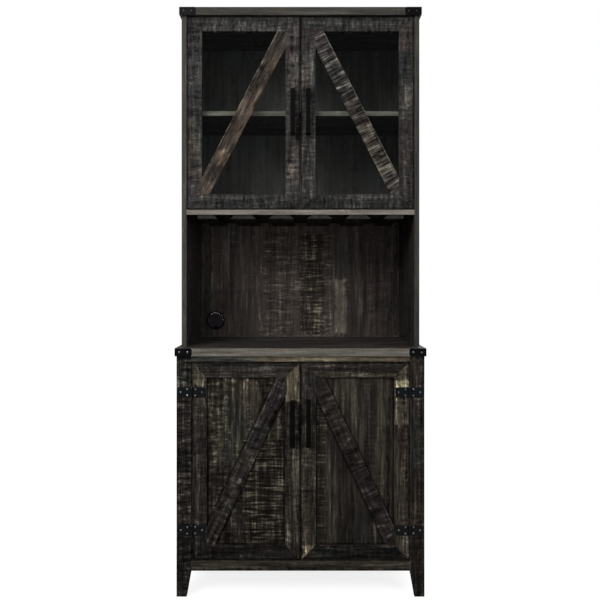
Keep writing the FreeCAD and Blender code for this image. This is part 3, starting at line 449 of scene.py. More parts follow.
# Looks of the printed laminate: dark, middle, light and pale tones; tints of the warm and the cool
# strips, and their shares; strips' width and length in millimetres, and contrast; fibres' depth and
# breaks per metre; saw marks' pitch in millimetres, depth, share and breaks per metre; scuffs
LOOKS = {
    "slate": dict(tones=((15, 14, 13), (46, 46, 45), (70, 69, 67), (108, 105, 99)),
        tints=((53, 48, 47), (45, 46, 46)), shares=(0.25, 0.3), strip=(15, 220, 0.3), fibre=0.36,
        saw=(6, 0.7, 1.4), scuff=0.05),
    "stile_slate": dict(tones=((14, 13, 12), (51, 50, 48), (78, 75, 71), (124, 118, 110)),
        tints=((57, 51, 49), (49, 50, 50)), shares=(0.35, 0.3), strip=(14, 120, 0.4), fibre=0.42,
        fibre_breaks=8, saw=(6, 0.52, 1.1), scuff=0.2),
    "umber": dict(tones=((8, 4, 3), (37, 33, 29), (64, 59, 52), (118, 110, 98)),
        tints=((41, 34, 31), (33, 33, 31)), shares=(0.35, 0.2), strip=(14, 150, 0.4), fibre=0.5,
        saw=(6.2, 0.4, 0.7), scuff=0.2),
    "sawn_post": dict(tones=((6, 4, 3), (32, 28, 26), (58, 54, 49), (108, 104, 98)),
        tints=((38, 31, 30), (30, 30, 28)), shares=(0.3, 0.25), strip=(14, 110, 0.4), fibre=0.42,
        saw=(7, 0.8, 1.5), saw_breaks=50, scuff=0.2),
    "olive_panel": dict(tones=((8, 5, 2), (38, 34, 28), (69, 63, 53), (122, 115, 102)),
        tints=((44, 37, 34), (33, 33, 30)), shares=(0.3, 0.25), strip=(11, 150, 0.55), fibre=0.46,
        saw=(6.2, 0.62, 1), scuff=0.2),
    "smooth_plank": dict(tones=((9, 6, 4), (38, 34, 29), (60, 55, 47), (98, 92, 80)),
        tints=((44, 37, 34), (32, 32, 30)), shares=(0.3, 0.25), strip=(10, 260, 0.6), fibre=0.42,
        saw=(6, 0.25, 0.4), scuff=0.08),
    "cream_saw": dict(tones=((6, 3, 1), (32, 28, 23), (68, 62, 52), (128, 121, 107)),
        tints=((40, 34, 30), (30, 30, 27)), shares=(0.25, 0.2), strip=(13, 120, 0.3), fibre=0.46,
        saw=(4.6, 1, 2.4), saw_breaks=16, scuff=0.15),
    "bay_back": dict(tones=((18, 14, 13), (56, 50, 47), (90, 83, 76), (142, 133, 122)),
        tints=((58, 51, 49), (53, 52, 50)), shares=(0.35, 0.3), strip=(15, 240, 0.38), fibre=0.24,
        saw=(7, 0.24, 0.5), scuff=0.03),
    "cupboard_back": dict(tones=((26, 25, 24), (56, 54, 53), (70, 68, 66), (86, 83, 79)),
        tints=((58, 55, 54), (54, 55, 55)), shares=(0.3, 0.3), strip=(24, 300, 0.5), fibre=0.22,
        saw=(8, 0.2, 0.4), scuff=0.02),
    "counter": dict(tones=((16, 13, 12), (52, 48, 46), (82, 76, 73), (132, 124, 119)),
        tints=((58, 49, 48), (49, 51, 50)), shares=(0.3, 0.3), strip=(18, 300, 0.4), fibre=0.46,
        saw=(7, 0.3, 0.4), scuff=0.4),
    "carcass": dict(tones=((18, 16, 15), (46, 44, 42), (72, 68, 63), (116, 110, 102)),
        tints=((53, 47, 44), (44, 46, 46)), shares=(0.25, 0.25), strip=(18, 240, 0.4), fibre=0.4,
        saw=(7, 0.4, 0.6), scuff=0.2),
    "brown_brace": dict(tones=((12, 8, 6), (55, 48, 42), (86, 77, 66), (134, 122, 106)),
        tints=((76, 62, 54), (58, 57, 55)), shares=(0.35, 0.25), strip=(8, 90, 0.5), fibre=0.55,
        fibre_breaks=16, saw=(7, 0.25, 0.3), scuff=0.4),
    "sawn_brace": dict(tones=((8, 7, 6), (53, 48, 45), (92, 86, 79), (140, 134, 127)),
        tints=((57, 49, 48), (49, 49, 47)), shares=(0.3, 0.25), strip=(12, 80, 0.25), fibre=0.24,
        saw=(5, 1.1, 2.4), saw_breaks=16, scuff=0.15),
    "purple_brace": dict(tones=((8, 4, 4), (37, 31, 29), (60, 55, 50), (114, 108, 98)),
        tints=((40, 33, 31), (34, 33, 31)), shares=(0.3, 0.2), strip=(11, 110, 0.4), fibre=0.42,
        saw=(9, 0.55, 0.9), scuff=0.3),
    "hatched_brace": dict(tones=((10, 6, 6), (38, 32, 30), (58, 52, 48), (100, 94, 86)),
        tints=((41, 34, 32), (35, 33, 31)), shares=(0.3, 0.2), strip=(12, 140, 0.25), fibre=0.36,
        saw=(10, 0.9, 1.6), saw_breaks=24, scuff=0.15),
    "banding": dict(tones=((60, 57, 52), (97, 93, 86), (120, 116, 108), (150, 145, 135)),
        tints=((101, 94, 84), (92, 92, 88)), shares=(0.2, 0.2), strip=(7, 120, 0.4), fibre=0.4,
        saw=(5, 0.3, 0.3), scuff=0.2),
    "fibreboard": dict(tones=((50, 40, 32), (72, 59, 47), (84, 69, 55), (98, 83, 67)),
        tints=((75, 60, 47), (68, 58, 47)), shares=(0.1, 0.1), strip=(60, 300, 0.12), fibre=0.25,
        saw=(5, 0.1, 0.1), scuff=0.1),
}
LOOKS["bay_sawn"] = dict(LOOKS["bay_back"], fibre=0.34, saw=(6, 0.7, 1.5), saw_breaks=40,
                         scuff=0.15)

# Patches over the print: stains and pale scuffs, painted shade on the bay's back and along the
# lower left panel's edge, and painted highlights along the door rails' inner edges. The patches at
# the foot of the posts, stiles and rails make them darker towards the bottom. Each has a tone;
# left, right, low and high in millimetres from the middle and the floor; strength; and a last value
# where the patch lifts the level as well
STAINS_AND_PAINTED_LIGHT = {
    "upper_left_stiles": (
        ((58, 58, 58), (-351, -305, 1600, 1775), 0.8),
        ((62, 62, 56), (-351, -305, 1320, 1460), 0.8, 0.05),
        ((66, 58, 55), (-351, -305, 1178, 1310), 0.8),
        ((64, 56, 56), (-47, -1, 1640, 1775), 0.8),
        ((92, 87, 79), (-26, -3, 1555, 1655), 0.8, 0.05),
        ((56, 56, 56), (-47, -1, 1395, 1550), 0.7),
        ((66, 60, 56), (-47, -1, 1250, 1385), 0.7, 0.03),
        ((92, 85, 76), (-42, -18, 1270, 1312), 0.8, 0.05)),
    "upper_right_stiles": (
        ((70, 56, 53), (305, 351, 1668, 1752), 0.8),
        ((42, 43, 43), (305, 351, 1552, 1664), 0.8),
        ((80, 75, 69), (316, 346, 1500, 1565), 0.8, 0.05),
        ((50, 44, 43), (305, 351, 1178, 1450), 0.7),
        ((52, 47, 47), (1, 47, 1670, 1775), 0.7),
        ((82, 78, 72), (4, 42, 1555, 1655), 0.8, 0.05),
        ((54, 54, 53), (1, 47, 1178, 1540), 0.7)),
    "upper_left_rails": (
        # Painted highlights along the inner edges of the top and the bottom rail
        ((66, 64, 61), (-320, -30, 1728, 1741), 0.8, 0.06),
        ((70, 68, 64), (-320, -30, 1210, 1223), 0.7, 0.06)),
    "upper_right_rails": (
        # Painted highlights along the inner edges of the top and the bottom rail
        ((50, 49, 47), (30, 320, 1728, 1741), 0.8, 0.03),
        ((58, 56, 53), (30, 320, 1210, 1223), 0.7, 0.05)),
    "upper_left_brace": (
        ((58, 54, 50), (-110, -40, 1650, 1730), 0.8),
        ((20, 15, 12), (-128, -116, 1610, 1626), 0.9),
        ((82, 71, 60), (-190, -120, 1470, 1560), 0.7),
        ((78, 58, 46), (-215, -150, 1430, 1490), 0.7),
        ((92, 80, 63), (-264, -228, 1312, 1358), 0.8),
        ((44, 42, 41), (-285, -225, 1265, 1312), 0.8),
        ((76, 64, 59), (-306, -270, 1220, 1262), 0.7)),
    "upper_right_brace": (
        ((60, 53, 54), (40, 110, 1650, 1730), 0.7),
        ((52, 52, 50), (90, 190, 1540, 1618), 0.8),
        ((66, 62, 51), (200, 300, 1290, 1440), 0.7, 0.03)),
    "lower_left_stiles": (
        ((80, 75, 58), (-327, -292, 638, 702), 0.9, 0.03),
        ((53, 49, 43), (-329, -283, 480, 636), 0.8),
        ((36, 32, 31), (-329, -283, 215, 480), 0.8),
        ((24, 24, 23), (-329, -283, 111, 190), 0.9),
        ((96, 92, 71), (-44, -2, 592, 702), 0.95, 0.03),
        ((52, 44, 41), (-46, -1, 480, 590), 0.8),
        ((46, 42, 36), (-46, -1, 165, 455), 0.8, 0.02)),
    "lower_left_rails": (
        ((33, 35, 36), (-300, -40, 685, 708), 0.8),
        # Painted highlight along the top rail's inner edge
        ((47, 44, 42), (-290, -40, 664, 680), 0.8, 0.04),
        ((26, 22, 21), (-329, -1, 111, 157), 0.9)),
    "lower_left_panel": (
        ((50, 47, 39), (-264, -180, 400, 668), 0.8),
        ((60, 54, 47), (-173, -123, 452, 660), 0.8, 0.03),
        ((31, 27, 26), (-292, -172, 150, 390), 0.8),
        # Painted shadow: a dark line along the panel's left edge, beside the frame
        ((12, 9, 8), (-292, -285, 150, 670), 0.9)),
    "lower_left_brace": (
        ((44, 38, 38), (-120, -40, 560, 664), 0.8),
        ((37, 39, 38), (-190, -95, 452, 540), 0.85),
        ((48, 44, 39), (-210, -100, 240, 450), 0.7, 0.03),
        ((56, 52, 47), (-162, -124, 396, 444), 0.8, 0.02)),
    "lower_right_stiles": (
        ((46, 40, 39), (1, 47, 560, 708), 0.8),
        ((56, 51, 43), (1, 47, 111, 520), 0.8, 0.02),
        ((80, 75, 58), (4, 34, 112, 152), 0.9, 0.04),
        ((88, 82, 68), (283, 329, 520, 650), 0.8, 0.02),
        ((78, 73, 56), (294, 327, 640, 702), 0.9, 0.03),
        ((60, 50, 45), (292, 324, 476, 512), 0.8),
        ((59, 55, 46), (283, 329, 111, 470), 0.8)),
    "lower_right_rails": (
        # Painted highlight along the top rail's inner edge
        ((50, 46, 39), (40, 295, 663, 680), 0.8, 0.05),
        ((39, 35, 33), (30, 300, 682, 708), 0.8),
        ((19, 22, 22), (54, 156, 112, 152), 0.9),
        ((18, 16, 15), (156, 329, 111, 157), 0.9)),
    "lower_right_panel": (
        ((43, 39, 34), (38, 118, 150, 640), 0.8),
        ((31, 27, 24), (118, 160, 150, 560), 0.8),
        ((38, 33, 31), (160, 231, 381, 670), 0.8),
        ((52, 49, 42), (231, 253, 300, 665), 0.85, 0.03),
        ((10, 8, 7), (264, 271, 254, 660), 0.9),
        ((30, 33, 33), (155, 211, 163, 254), 0.9),
        ((34, 31, 29), (211, 291, 150, 300), 0.7)),
    "lower_right_brace": (
        ((38, 34, 31), (40, 170, 380, 664), 0.8),
        ((35, 30, 30), (170, 290, 150, 380), 0.8)),
    "front_post_left": (
        ((35, 37, 34), (-376, -330, 640, 728), 0.8),
        ((43, 38, 35), (-376, -330, 440, 640), 0.7),
        ((36, 31, 28), (-376, -330, 190, 440), 0.7),
        ((20, 17, 15), (-376, -330, 0, 190), 0.8)),
    "front_post_right": (
        ((38, 32, 31), (330, 376, 560, 728), 0.8),
        ((30, 32, 30), (330, 376, 381, 558), 0.8),
        ((31, 26, 22), (330, 376, 190, 381), 0.8),
        ((57, 52, 42), (334, 372, 200, 286), 0.8, 0.03),
        ((22, 19, 17), (330, 376, 0, 190), 0.8)),
    "base_top_rail": (
        ((90, 83, 69), (-331, 331, 711, 729), 0.8),
        ((100, 93, 76), (-188, 92, 714, 724), 0.7, 0.04)),
    "base_bottom_rail": (
        ((48, 45, 38), (-331, 331, 84, 109), 0.8),
        ((15, 13, 11), (-331, 331, 77, 82), 0.9)),
    "hutch_back_panel": (
        # Painted shade: the lower part of the bay's back darkened against the stronger light there
        ((60, 54, 52), (-353, 353, 752, 920), 0.5),
        ((50, 46, 46), (-353, -318, 752, 1148), 0.8),
        ((74, 70, 58), (-322, -284, 842, 1030), 0.8),
        ((63, 65, 63), (-253, -201, 752, 1148), 0.7),
        ((76, 68, 66), (-198, -141, 752, 1148), 0.6, 0.03),
        ((120, 112, 100), (-143, -139, 780, 1080), 0.8, 0.1),
        ((110, 106, 86), (-86, -60, 890, 980), 0.9),
        ((90, 82, 73), (-43, -4, 757, 925), 0.8, 0.02),
        ((116, 110, 93), (122, 164, 765, 960), 1, 0.14),
        ((62, 62, 62), (170, 218, 752, 1148), 0.6),
        ((68, 59, 57), (218, 322, 752, 1148), 0.7),
        ((48, 48, 44), (322, 353, 752, 1148), 0.8)),
}

# Other looks over an area: look, area as above, strength, brightness
INLAYS = {
    "lower_left_panel": (("cream_saw", (-172, -40, 158, 474), 0.9, 1.02),),
    "hutch_back_panel": (
        ("bay_sawn", (-130, 116, 757, 1130), 0.6, 1.36),
        ("cream_saw", (0, 84, 760, 1120), 0.7, 1.45),
        ("cupboard_back", (-360, 360, 1166, 1790), 1, 1.66)),
    "lower_right_panel": (("cream_saw", (49, 78, 170, 620), 0.6, 1),),
}


def new_material(name):
    """An empty material with its wires."""
    material = bpy.data.materials.new(name)
    material.use_nodes = True
    material.node_tree.nodes.clear()
    return material, Wires(material.node_tree)


def coated(wires, inputs, height, strength=0.2, distance=0.3 * MM):
    """A Principled shader with a bump, wired to the material's output."""
    shader = wires.add("BsdfPrincipled", inputs)
    bump = wires.add("Bump", {"Height": height, "Strength": strength, "Distance": distance})
    wires.feed(shader.inputs["Normal"], bump.outputs[0])
    wires.show("Material", shader.outputs[0])


# Laminate

def brace_turn(node):
    """The turn that lays the grain along a door's brace, which leans inwards at its top."""
    low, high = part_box(node)
    lean = math.atan2(high.x - low.x, high.z - low.z)
    return (0, -lean, 0) if "left" in node else (0, lean, 0)


def beside(wires, spot, node):
    """Coordinates from the middle of a brace, whose X runs across it."""
    low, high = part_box(node)
    turn = brace_turn(node)
    moved = Euler(turn).to_matrix() @ ((low + high) / -2)
    return wires.add("Mapping", {"Vector": spot, "Rotation": turn, "Location": moved}).outputs[0]


def upper_edge(node):
    """Corners, in a brace's own coordinates, that leave it only the arris on its upper side.

    There the pale arris is rubbed wear and a painted highlight from the light above.
    """
    low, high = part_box(node)
    deep = (high.y - low.y) / 2
    if "left" in node:
        return (-BRACE_HALF_WIDE, -deep, -1.0), (1.0, deep, 1.0)
    return (-1.0, -deep, -1.0), (BRACE_HALF_WIDE, deep, 1.0)


def with_grain(wires, spot, turn):
    """Coordinates whose Z runs with the grain."""
    return wires.add("Mapping", {"Vector": spot, "Rotation": turn}).outputs[0]


def brightened(colour, factor):
    """A colour of 0 to 255 values, multiplied."""
    return tone(*[value * factor for value in colour])


def print_of(wires, along, look, seed, brighter=1.0, lift=0.0):
    """The printed wood group with one look, over coordinates that run with the grain."""
    values = LOOKS[look]
    tones = values["tones"] + values["tints"]
    warm, cool = values["shares"]
    wide, long, contrast = values["strip"]
    pitch, deep, share = values["saw"]
    return placed(wires, "printed_wood", {
        "Vector": along, "Seed": seed, "Lift": lift, "Warm Share": warm, "Cool Share": cool,
        "Strip Width": wide * MM, "Strip Length": long * MM, "Strip Contrast": contrast,
        "Fibre": values["fibre"], "Fibre Breaks": values.get("fibre_breaks", FIBRE_BREAKS),
        "Saw Pitch": pitch * MM, "Saw Depth": deep, "Saw Share": share,
        "Saw Breaks": values.get("saw_breaks", SAW_ROW_BREAKS), "Scuff Share": values["scuff"],
        **{name: brightened(colour, brighter) for name, colour in zip(PRINT_TONES, tones)}})


def patches(wires, spot, along, areas):
    """A mask for each area, with its strength and how broken it is."""
    shakes = wires.noise(spot, PATCH_OUTLINE_NOISE, FINE_DETAIL)
    flecks = wires.noise(along, PATCH_FLECK_NOISE, FINE_DETAIL, ROUGH_GRAIN)
    masks = []
    for (left, right, low, high), strength, broken in areas:
        centre = ((left + right) / 2 * MM, 0, (low + high) / 2 * MM)
        half = ((right - left) / 2 * MM, 1.0, (high - low) / 2 * MM)
        masks.append(placed(wires, "ragged_patch", {
            "Vector": spot, "Centre": centre, "Half Size": half, "Ragged": shakes,
            "Flecks": flecks, "Strength": strength, "Broken": broken})["Mask"])
    return masks


def patch_filter(colour, plain):
    """What a listed patch multiplies the print by, with part of its hue taken out."""
    ratio = [value / base for value, base in zip(tone(*colour)[:3], plain)]
    grey = sum(ratio) / 3
    return (*[grey + PATCH_HUE * (value - grey) for value in ratio], 1.0)


def on_skin(wires, spot, face, inwards):
    """A mask of a board's skin at its front or rear face."""
    return wires.between(wires.parts(spot)[1], face + inwards * SKIN_TO,
                         face + inwards * SKIN_FROM)


def print_with_stains_and_painted_light(wires, spot, along, node, look, seed, brighter):
    """The print of a board with its stains, painted shade and painted highlights: colour, roughness
    and height.
    """
    stains_and_painted_light = STAINS_AND_PAINTED_LIGHT.get(node, ())
    masks = patches(wires, spot, along, [
        (area, strength, BROKEN_PALE if sum(colour) > PALE_SUM else BROKEN_TINT)
        for colour, area, strength, *_ in stains_and_painted_light]) if stains_and_painted_light else []
    lift = 0.0
    for mask, listed_patch in zip(masks, stains_and_painted_light):
        for raised in listed_patch[3:]:
            lift = wires.plus(wires.times(mask, raised), lift)
    wood = print_of(wires, along, look, seed, brighter, lift)
    plain = brightened(LOOKS[look]["tones"][MIDDLE_TONE], brighter)
    colour = wood["Color"]
    for mask, listed_patch in zip(masks, stains_and_painted_light):
        colour = wires.blend(mask, colour, patch_filter(listed_patch[0], plain), how="MULTIPLY")
    return colour, wood["Roughness"], wood["Height"]


def laminate(node, look, turn, seed, brighter=1.0, band=None, rear=None, brace=None, member=None,
             wear=ARRIS_WEAR):
    """Printed laminate on a board, with its stains, painted shade, painted highlights and inlays.

    Brighter multiplies the look's tones. A band is the brightness and the turn of the strip on the
    board's front edge. Rear is the look of its other face. Brace is the node that lies on a door's
    recessed panel; the panel gets painted shade in its corners and beside the brace. Member is the
    width of a door frame's parts; the frame gets painted shade along its outer gap. Wear and
    highlight is the share and the tone of the pale arrises: rubbed wear, and on a brace's upper
    arris a painted highlight as well.
    """
    material, wires = new_material(node + "_print")
    spot = wires.spot()
    along = with_grain(wires, spot, turn)
    low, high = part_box(node)
    box = {"Vector": spot, "Low": low, "High": high}
    colour, rough, height = print_with_stains_and_painted_light(wires, spot, along, node, look, seed, brighter)
    for index, (inlaid, area, strength, bright) in enumerate(INLAYS.get(node, ())):
        mask = patches(wires, spot, along, [(area, strength, 0.0)])[0]
        wood = print_of(wires, along, inlaid, seed + INLAY_SEED + index, bright)
        colour = wires.blend(mask, colour, wood["Color"])
    if band:
        bright, edge_turn = band
        edge_along = with_grain(wires, spot, edge_turn)
        wood = print_of(wires, edge_along, "banding", seed + BAND_SEED, bright)
        colour = wires.blend(on_skin(wires, spot, low.y, 1), colour, wood["Color"])
    if rear:
        wood = print_of(wires, along, rear, seed + REAR_SEED)
        colour = wires.blend(on_skin(wires, spot, high.y, -1), colour, wood["Color"])
    if brace:
        # Painted shade in the panel's recess: its corners along the frame and both sides of the
        # brace
        recess_shade_mask = placed(wires, "recess_shade", {
            **box, "Brace Vector": beside(wires, spot, brace)})["Mask"]
        colour = wires.blend(wires.times(recess_shade_mask, PAINTED_SHADE_SHARE), colour, PAINTED_SHADE, how="MULTIPLY")
    if member:
        edges = placed(wires, "frame_arris", {**box, "Member": member})
        worn = edges["Mask"]
        # Painted shade along the frame's outer gap
        gap = wires.times(edges["Gap Shade"], PAINTED_SHADE_SHARE)
        colour = wires.blend(gap, colour, PAINTED_SHADE, how="MULTIPLY")
    elif "brace" in node:
        # Only the brace's upper arris turns pale: rubbed wear and a painted highlight
        inner, outer = upper_edge(node)
        worn = placed(wires, "board_arris", {
            "Vector": beside(wires, spot, node), "Low": inner, "High": outer,
            "Reach": BRACE_REACH})["Mask"]
    else:
        worn = placed(wires, "board_arris", box)["Mask"]
    # Pale arrises: rubbed wear, and on a brace's upper arris a painted highlight as well
    share, wear_and_highlight_tone = wear
    colour = wires.blend(wires.times(worn, share), colour, wear_and_highlight_tone)
    coated(wires, {"Base Color": colour, "Roughness": rough,
                   "Specular IOR Level": LAMINATE_GLOSS}, height)
    return material


# Coats, metal, plastic and glass

COAT_GLOSS = 0.12
SCRATCHED = (44, 43, 43)
GLASS_MARKS = (0.6 * MM, 20 * MM)
GLASS_TONE = tone(246, 249, 248)
SMUDGED_GLASS = 0.01
GLASS_INDEX = 1.45

# Kinds of coat: sizes of speckle and scratches; the marks that show in the tone, and their share;
# the marks that roughen, and by how much; the marks that stand out, how strongly and how high
POWDER = ((0.7 * MM, 15 * MM), ("Scratches", 0.4), ("Smudges", 0.14), ("Speckle", 0.25, 0.1 * MM))
STEEL = ((0.4 * MM, 8 * MM), ("Smudges", 1.0), ("Scratches", 0.2), ("Scratches", 0.15, 0.05 * MM))
MOULDED = ((0.5 * MM, 10 * MM), ("Smudges", 1.0), ("Smudges", 0.15), ("Speckle", 0.3, 0.1 * MM))


def marked(name, sizes):
    """An empty material with its wires and its handling marks."""
    material, wires = new_material(name)
    speckle, scratch = sizes
    return material, wires, placed(wires, "handling_marks", {
        "Vector": wires.spot(), "Speckle Size": speckle, "Scratch Length": scratch})


def coat(name, kind, colour, worn, rough):
    """Powder coat with orange peel, brushed plated steel or textured plastic, with its marks."""
    sizes, (worn_by, share), (rough_by, rougher), (raised_by, strength, high) = kind
    material, wires, marks = marked(name, sizes)
    shade = wires.blend(wires.times(marks[worn_by], share), tone(*colour), tone(*worn))
    roughness = wires.plus(rough, wires.times(marks[rough_by], rougher))
    shine = {"Metallic": 1.0} if kind is STEEL else {"Specular IOR Level": COAT_GLOSS}
    coated(wires, {"Base Color": shade, "Roughness": roughness, **shine}, marks[raised_by],
           strength, high)
    return material


def clear_glass():
    """Clear pane with faint smudges in its gloss. Light passes straight through it."""
    material, wires, marks = marked("clear_pane", GLASS_MARKS)
    rough = wires.times(marks["Smudges"], SMUDGED_GLASS)
    shader = wires.add("BsdfPrincipled", {
        "Base Color": GLASS_TONE, "Roughness": rough, "IOR": GLASS_INDEX,
        "Transmission Weight": 1.0, "Metallic": 0.0}).outputs[0]
    clear = wires.add("BsdfTransparent", {"Color": GLASS_TONE}).outputs[0]
    path = wires.add("LightPath").outputs
    lighting = wires.most(path["Is Shadow Ray"], path["Is Diffuse Ray"])
    wires.show("Material", wires.mixed(lighting, shader, clear))
    return material


BLACK = coat("black_powder_coat", POWDER, (7, 7, 8), SCRATCHED, 0.42)
IRON = coat("blued_iron_coat", POWDER, (23, 24, 26), SCRATCHED, 0.42)
BRACKET = coat("bracket_coat", POWDER, (14, 14, 16), SCRATCHED, 0.42)
BRIGHT = coat("bright_zinc", STEEL, (228, 229, 231), (196, 197, 200), 0.4)
NICKEL = coat("satin_nickel", STEEL, (165, 163, 160), (120, 118, 115), 0.34)
DULL = coat("blackened_screw", STEEL, (120, 118, 116), (80, 78, 76), 0.4)
PLASTIC = coat("black_plastic", MOULDED, (10, 10, 11), (20, 19, 21), 0.5)
CAP_PLASTIC = coat("grommet_cap_plastic", MOULDED, (46, 41, 47), (58, 52, 58), 0.5)
PANE = clear_glass()

# Dressing the frame's own pieces

ROUND_BOARD = 0.8 * MM
ROUND_DOOR = 1.0 * MM
ROUND_SMALL = 0.5 * MM
ROUND_MOULDED = 0.6 * MM
ROUND_METAL = 0.35 * MM
ROUND_THIN = 0.3 * MM
ROUND_LEAF = 0.25 * MM
WELD_REACH = 0.01 * MM
ARRIS_FROM = math.radians(40)


def dress(node, material, round_by=0.0):
    """Gives a piece its finish and rounds its arrises."""
    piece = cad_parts[node]
    if not piece.material_slots:
        piece.data.materials.append(material)
    for slot in piece.material_slots:
        slot.material = material
    if round_by:
        soften(piece, round_by)


def soften(piece, round_by):
    """Rounds every sharp arris of a piece."""
    weld = piece.modifiers.new("joined_corners", "WELD")
    weld.merge_threshold = WELD_REACH
    bevel = piece.modifiers.new("rounded_arrises", "BEVEL")
    bevel.width = round_by
    bevel.segments = 2
    bevel.limit_method = "ANGLE"
    bevel.angle_limit = ARRIS_FROM


def board(node, look, turn, seed, round_by=ROUND_BOARD, **more):
    """Gives a board its printed laminate."""
    dress(node, laminate(node, look, turn, seed, **more), round_by)


def dress_carcass():
    """The boards that stand still."""
    for name, side in SIDES:
        board("base_side_" + name, "umber", GRAIN_UP, 11 + side)
        board("front_post_" + name, "sawn_post" if side < 0 else "umber", GRAIN_UP, 21 + side)
        board("hutch_side_" + name, "carcass", GRAIN_UP, 31 + side,
              band=(0.71 - 0.06 * side, GRAIN_UP))
    for node, look, seed, brighter, bright in (
            ("counter_top", "counter", 51, 1.08, 1.1), ("top_board", "counter", 53, 1.0, 0.72),
            ("fixed_shelf", "carcass", 55, 1.0, 1.32), ("inner_shelf", "carcass", 57, 1.0, 1.1),
            ("base_shelf", "carcass", 59, 1.0, 0.95)):
        board(node, look, GRAIN_ACROSS, seed, brighter=brighter, band=(bright, GRAIN_ACROSS))
    board("base_top_rail", "smooth_plank", GRAIN_ACROSS, 41, brighter=2.15)
    board("base_bottom_rail", "smooth_plank", GRAIN_ACROSS, 43, brighter=1.52)
    board("base_bottom_board", "carcass", GRAIN_ACROSS, 61)
    board("stemware_rails", "carcass", GRAIN_BACK, 63, ROUND_SMALL, band=(0.49, GRAIN_UP))
    board("hutch_back_panel", "bay_back", GRAIN_UP, 71, 0.0, brighter=1.49, rear="fibreboard")
    board("base_back_panel", "bay_back", GRAIN_UP, 73, 0.0, rear="fibreboard")


def dress_doors():
    """The four doors' frames, panels, panes and braces."""
    for index, (name, side) in enumerate(SIDES):
        lower, upper = "lower_" + name, "upper_" + name
        step = 4 * index
        bright = 0.96 - 0.04 * side
        for node, look, turn, seed, brighter in (
                (lower + "_stiles", "umber", GRAIN_UP, 88, 1.0),
                (lower + "_rails", "umber", GRAIN_ACROSS, 87, 1.0),
                (upper + "_stiles", "stile_slate", GRAIN_UP, 108, bright),
                (upper + "_rails", "slate", GRAIN_ACROSS, 107, bright)):
            board(node, look, turn, seed + step, ROUND_DOOR, member=MEMBER_WIDE,
                  brighter=brighter)
        board(lower + "_panel", "olive_panel" if side < 0 else "smooth_plank", GRAIN_UP,
              121 + index * 7, 0.0, brighter=1.07 + 0.07 * side, brace=lower + "_brace")
        board(lower + "_brace", "purple_brace" if side < 0 else "hatched_brace",
              brace_turn(lower + "_brace"), 141 + index)
        board(upper + "_brace", "brown_brace" if side < 0 else "sawn_brace",
              brace_turn(upper + "_brace"), 151 + index, wear=BRACE_WEAR_AND_HIGHLIGHT)
        dress(upper + "_glass", PANE)


def dress_hardware():
    """Metal and plastic pieces."""
    for name, _ in SIDES:
        for row in ("lower_", "upper_"):
            dress(row + name + "_handle", BLACK, ROUND_MOULDED)
            dress(row + name + "_handle_screws", BRIGHT, ROUND_METAL)
        dress("lower_" + name + "_hinge_leaves", IRON, ROUND_LEAF)
        dress("lower_" + name + "_strike_plate", BRIGHT, ROUND_METAL)
        dress("upper_" + name + "_cup_hinges", NICKEL, ROUND_METAL)
    dress("hinge_post_leaves", IRON, ROUND_LEAF)
    dress("hinge_pins", BRIGHT, ROUND_METAL)
    dress("corner_brackets", BRACKET, ROUND_THIN)
    dress("cup_hinge_arms", NICKEL, ROUND_METAL)
    dress("door_catches", PLASTIC, ROUND_MOULDED)
    dress("shelf_pins", BRIGHT, ROUND_METAL)
    dress("rail_screws", BRIGHT, ROUND_METAL)
    dress("grommet_ring", PLASTIC, ROUND_SMALL)
    dress("grommet_cap", CAP_PLASTIC, ROUND_THIN)


# Screw heads

HEAD_RADIUS = 3.1 * MM
HEAD_HIGH = 1.5 * MM
HEAD_SIDES = 28
HEAD_SHARES = ((0, 0), (1, 0), (1, 0.16), (0.95, 0.42), (0.82, 0.68), (0.6, 0.88), (0.32, 0.98),
               (0, 1))
CROSS_LONG = 3.6 * MM
CROSS_WIDE = 0.75 * MM
CROSS_DEEP = 1.0 * MM
CROSS_TAPER = 0.45
CRISP_FROM = math.radians(35)
DRAW = random.Random(7)


def new_piece(name, mesh):
    """An object in the scene from a bmesh, which is freed."""
    data = bpy.data.meshes.new(name)
    mesh.to_mesh(data)
    mesh.free()
    return new_object(name, data)


def solids(node):
    """The lowest and highest corners of each separate solid in a node."""
    mesh = bmesh.new()
    mesh.from_mesh(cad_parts[node].data)
    bmesh.ops.remove_doubles(mesh, verts=mesh.verts, dist=WELD_REACH)
    left = set(mesh.verts)
    boxes = []
    while left:
        reached = [left.pop()]
        found = []
        while reached:
            corner = reached.pop()
            found.append(corner.co.copy())
            for edge in corner.link_edges:
                other = edge.other_vert(corner)
                if other in left:
                    left.remove(other)
                    reached.append(other)
        boxes.append((Vector(map(min, zip(*found))), Vector(map(max, zip(*found)))))
    mesh.free()
    return sorted(boxes, key=lambda pair: tuple(round(value, 5) for value in pair[0]))


def turned(profile, count):
    """A round mesh from a profile of radius and height, closed where the radius is 0."""
    mesh = bmesh.new()
    rings = []
    for radius, height in profile:
        angles = [math.tau * step / count for step in range(count if radius else 1)]
        rings.append([mesh.verts.new((radius * math.cos(angle), radius * math.sin(angle), height))
                      for angle in angles])
    for lower, upper in zip(rings, rings[1:]):
        for step in range(count):
            following = (step + 1) % count
            if len(lower) == 1:
                mesh.faces.new((lower[0], upper[following], upper[step]))
            elif len(upper) == 1:
                mesh.faces.new((lower[step], lower[following], upper[0]))
            else:
                mesh.faces.new((lower[step], lower[following], upper[following], upper[step]))
    bmesh.ops.recalc_face_normals(mesh, faces=mesh.faces)
    return mesh


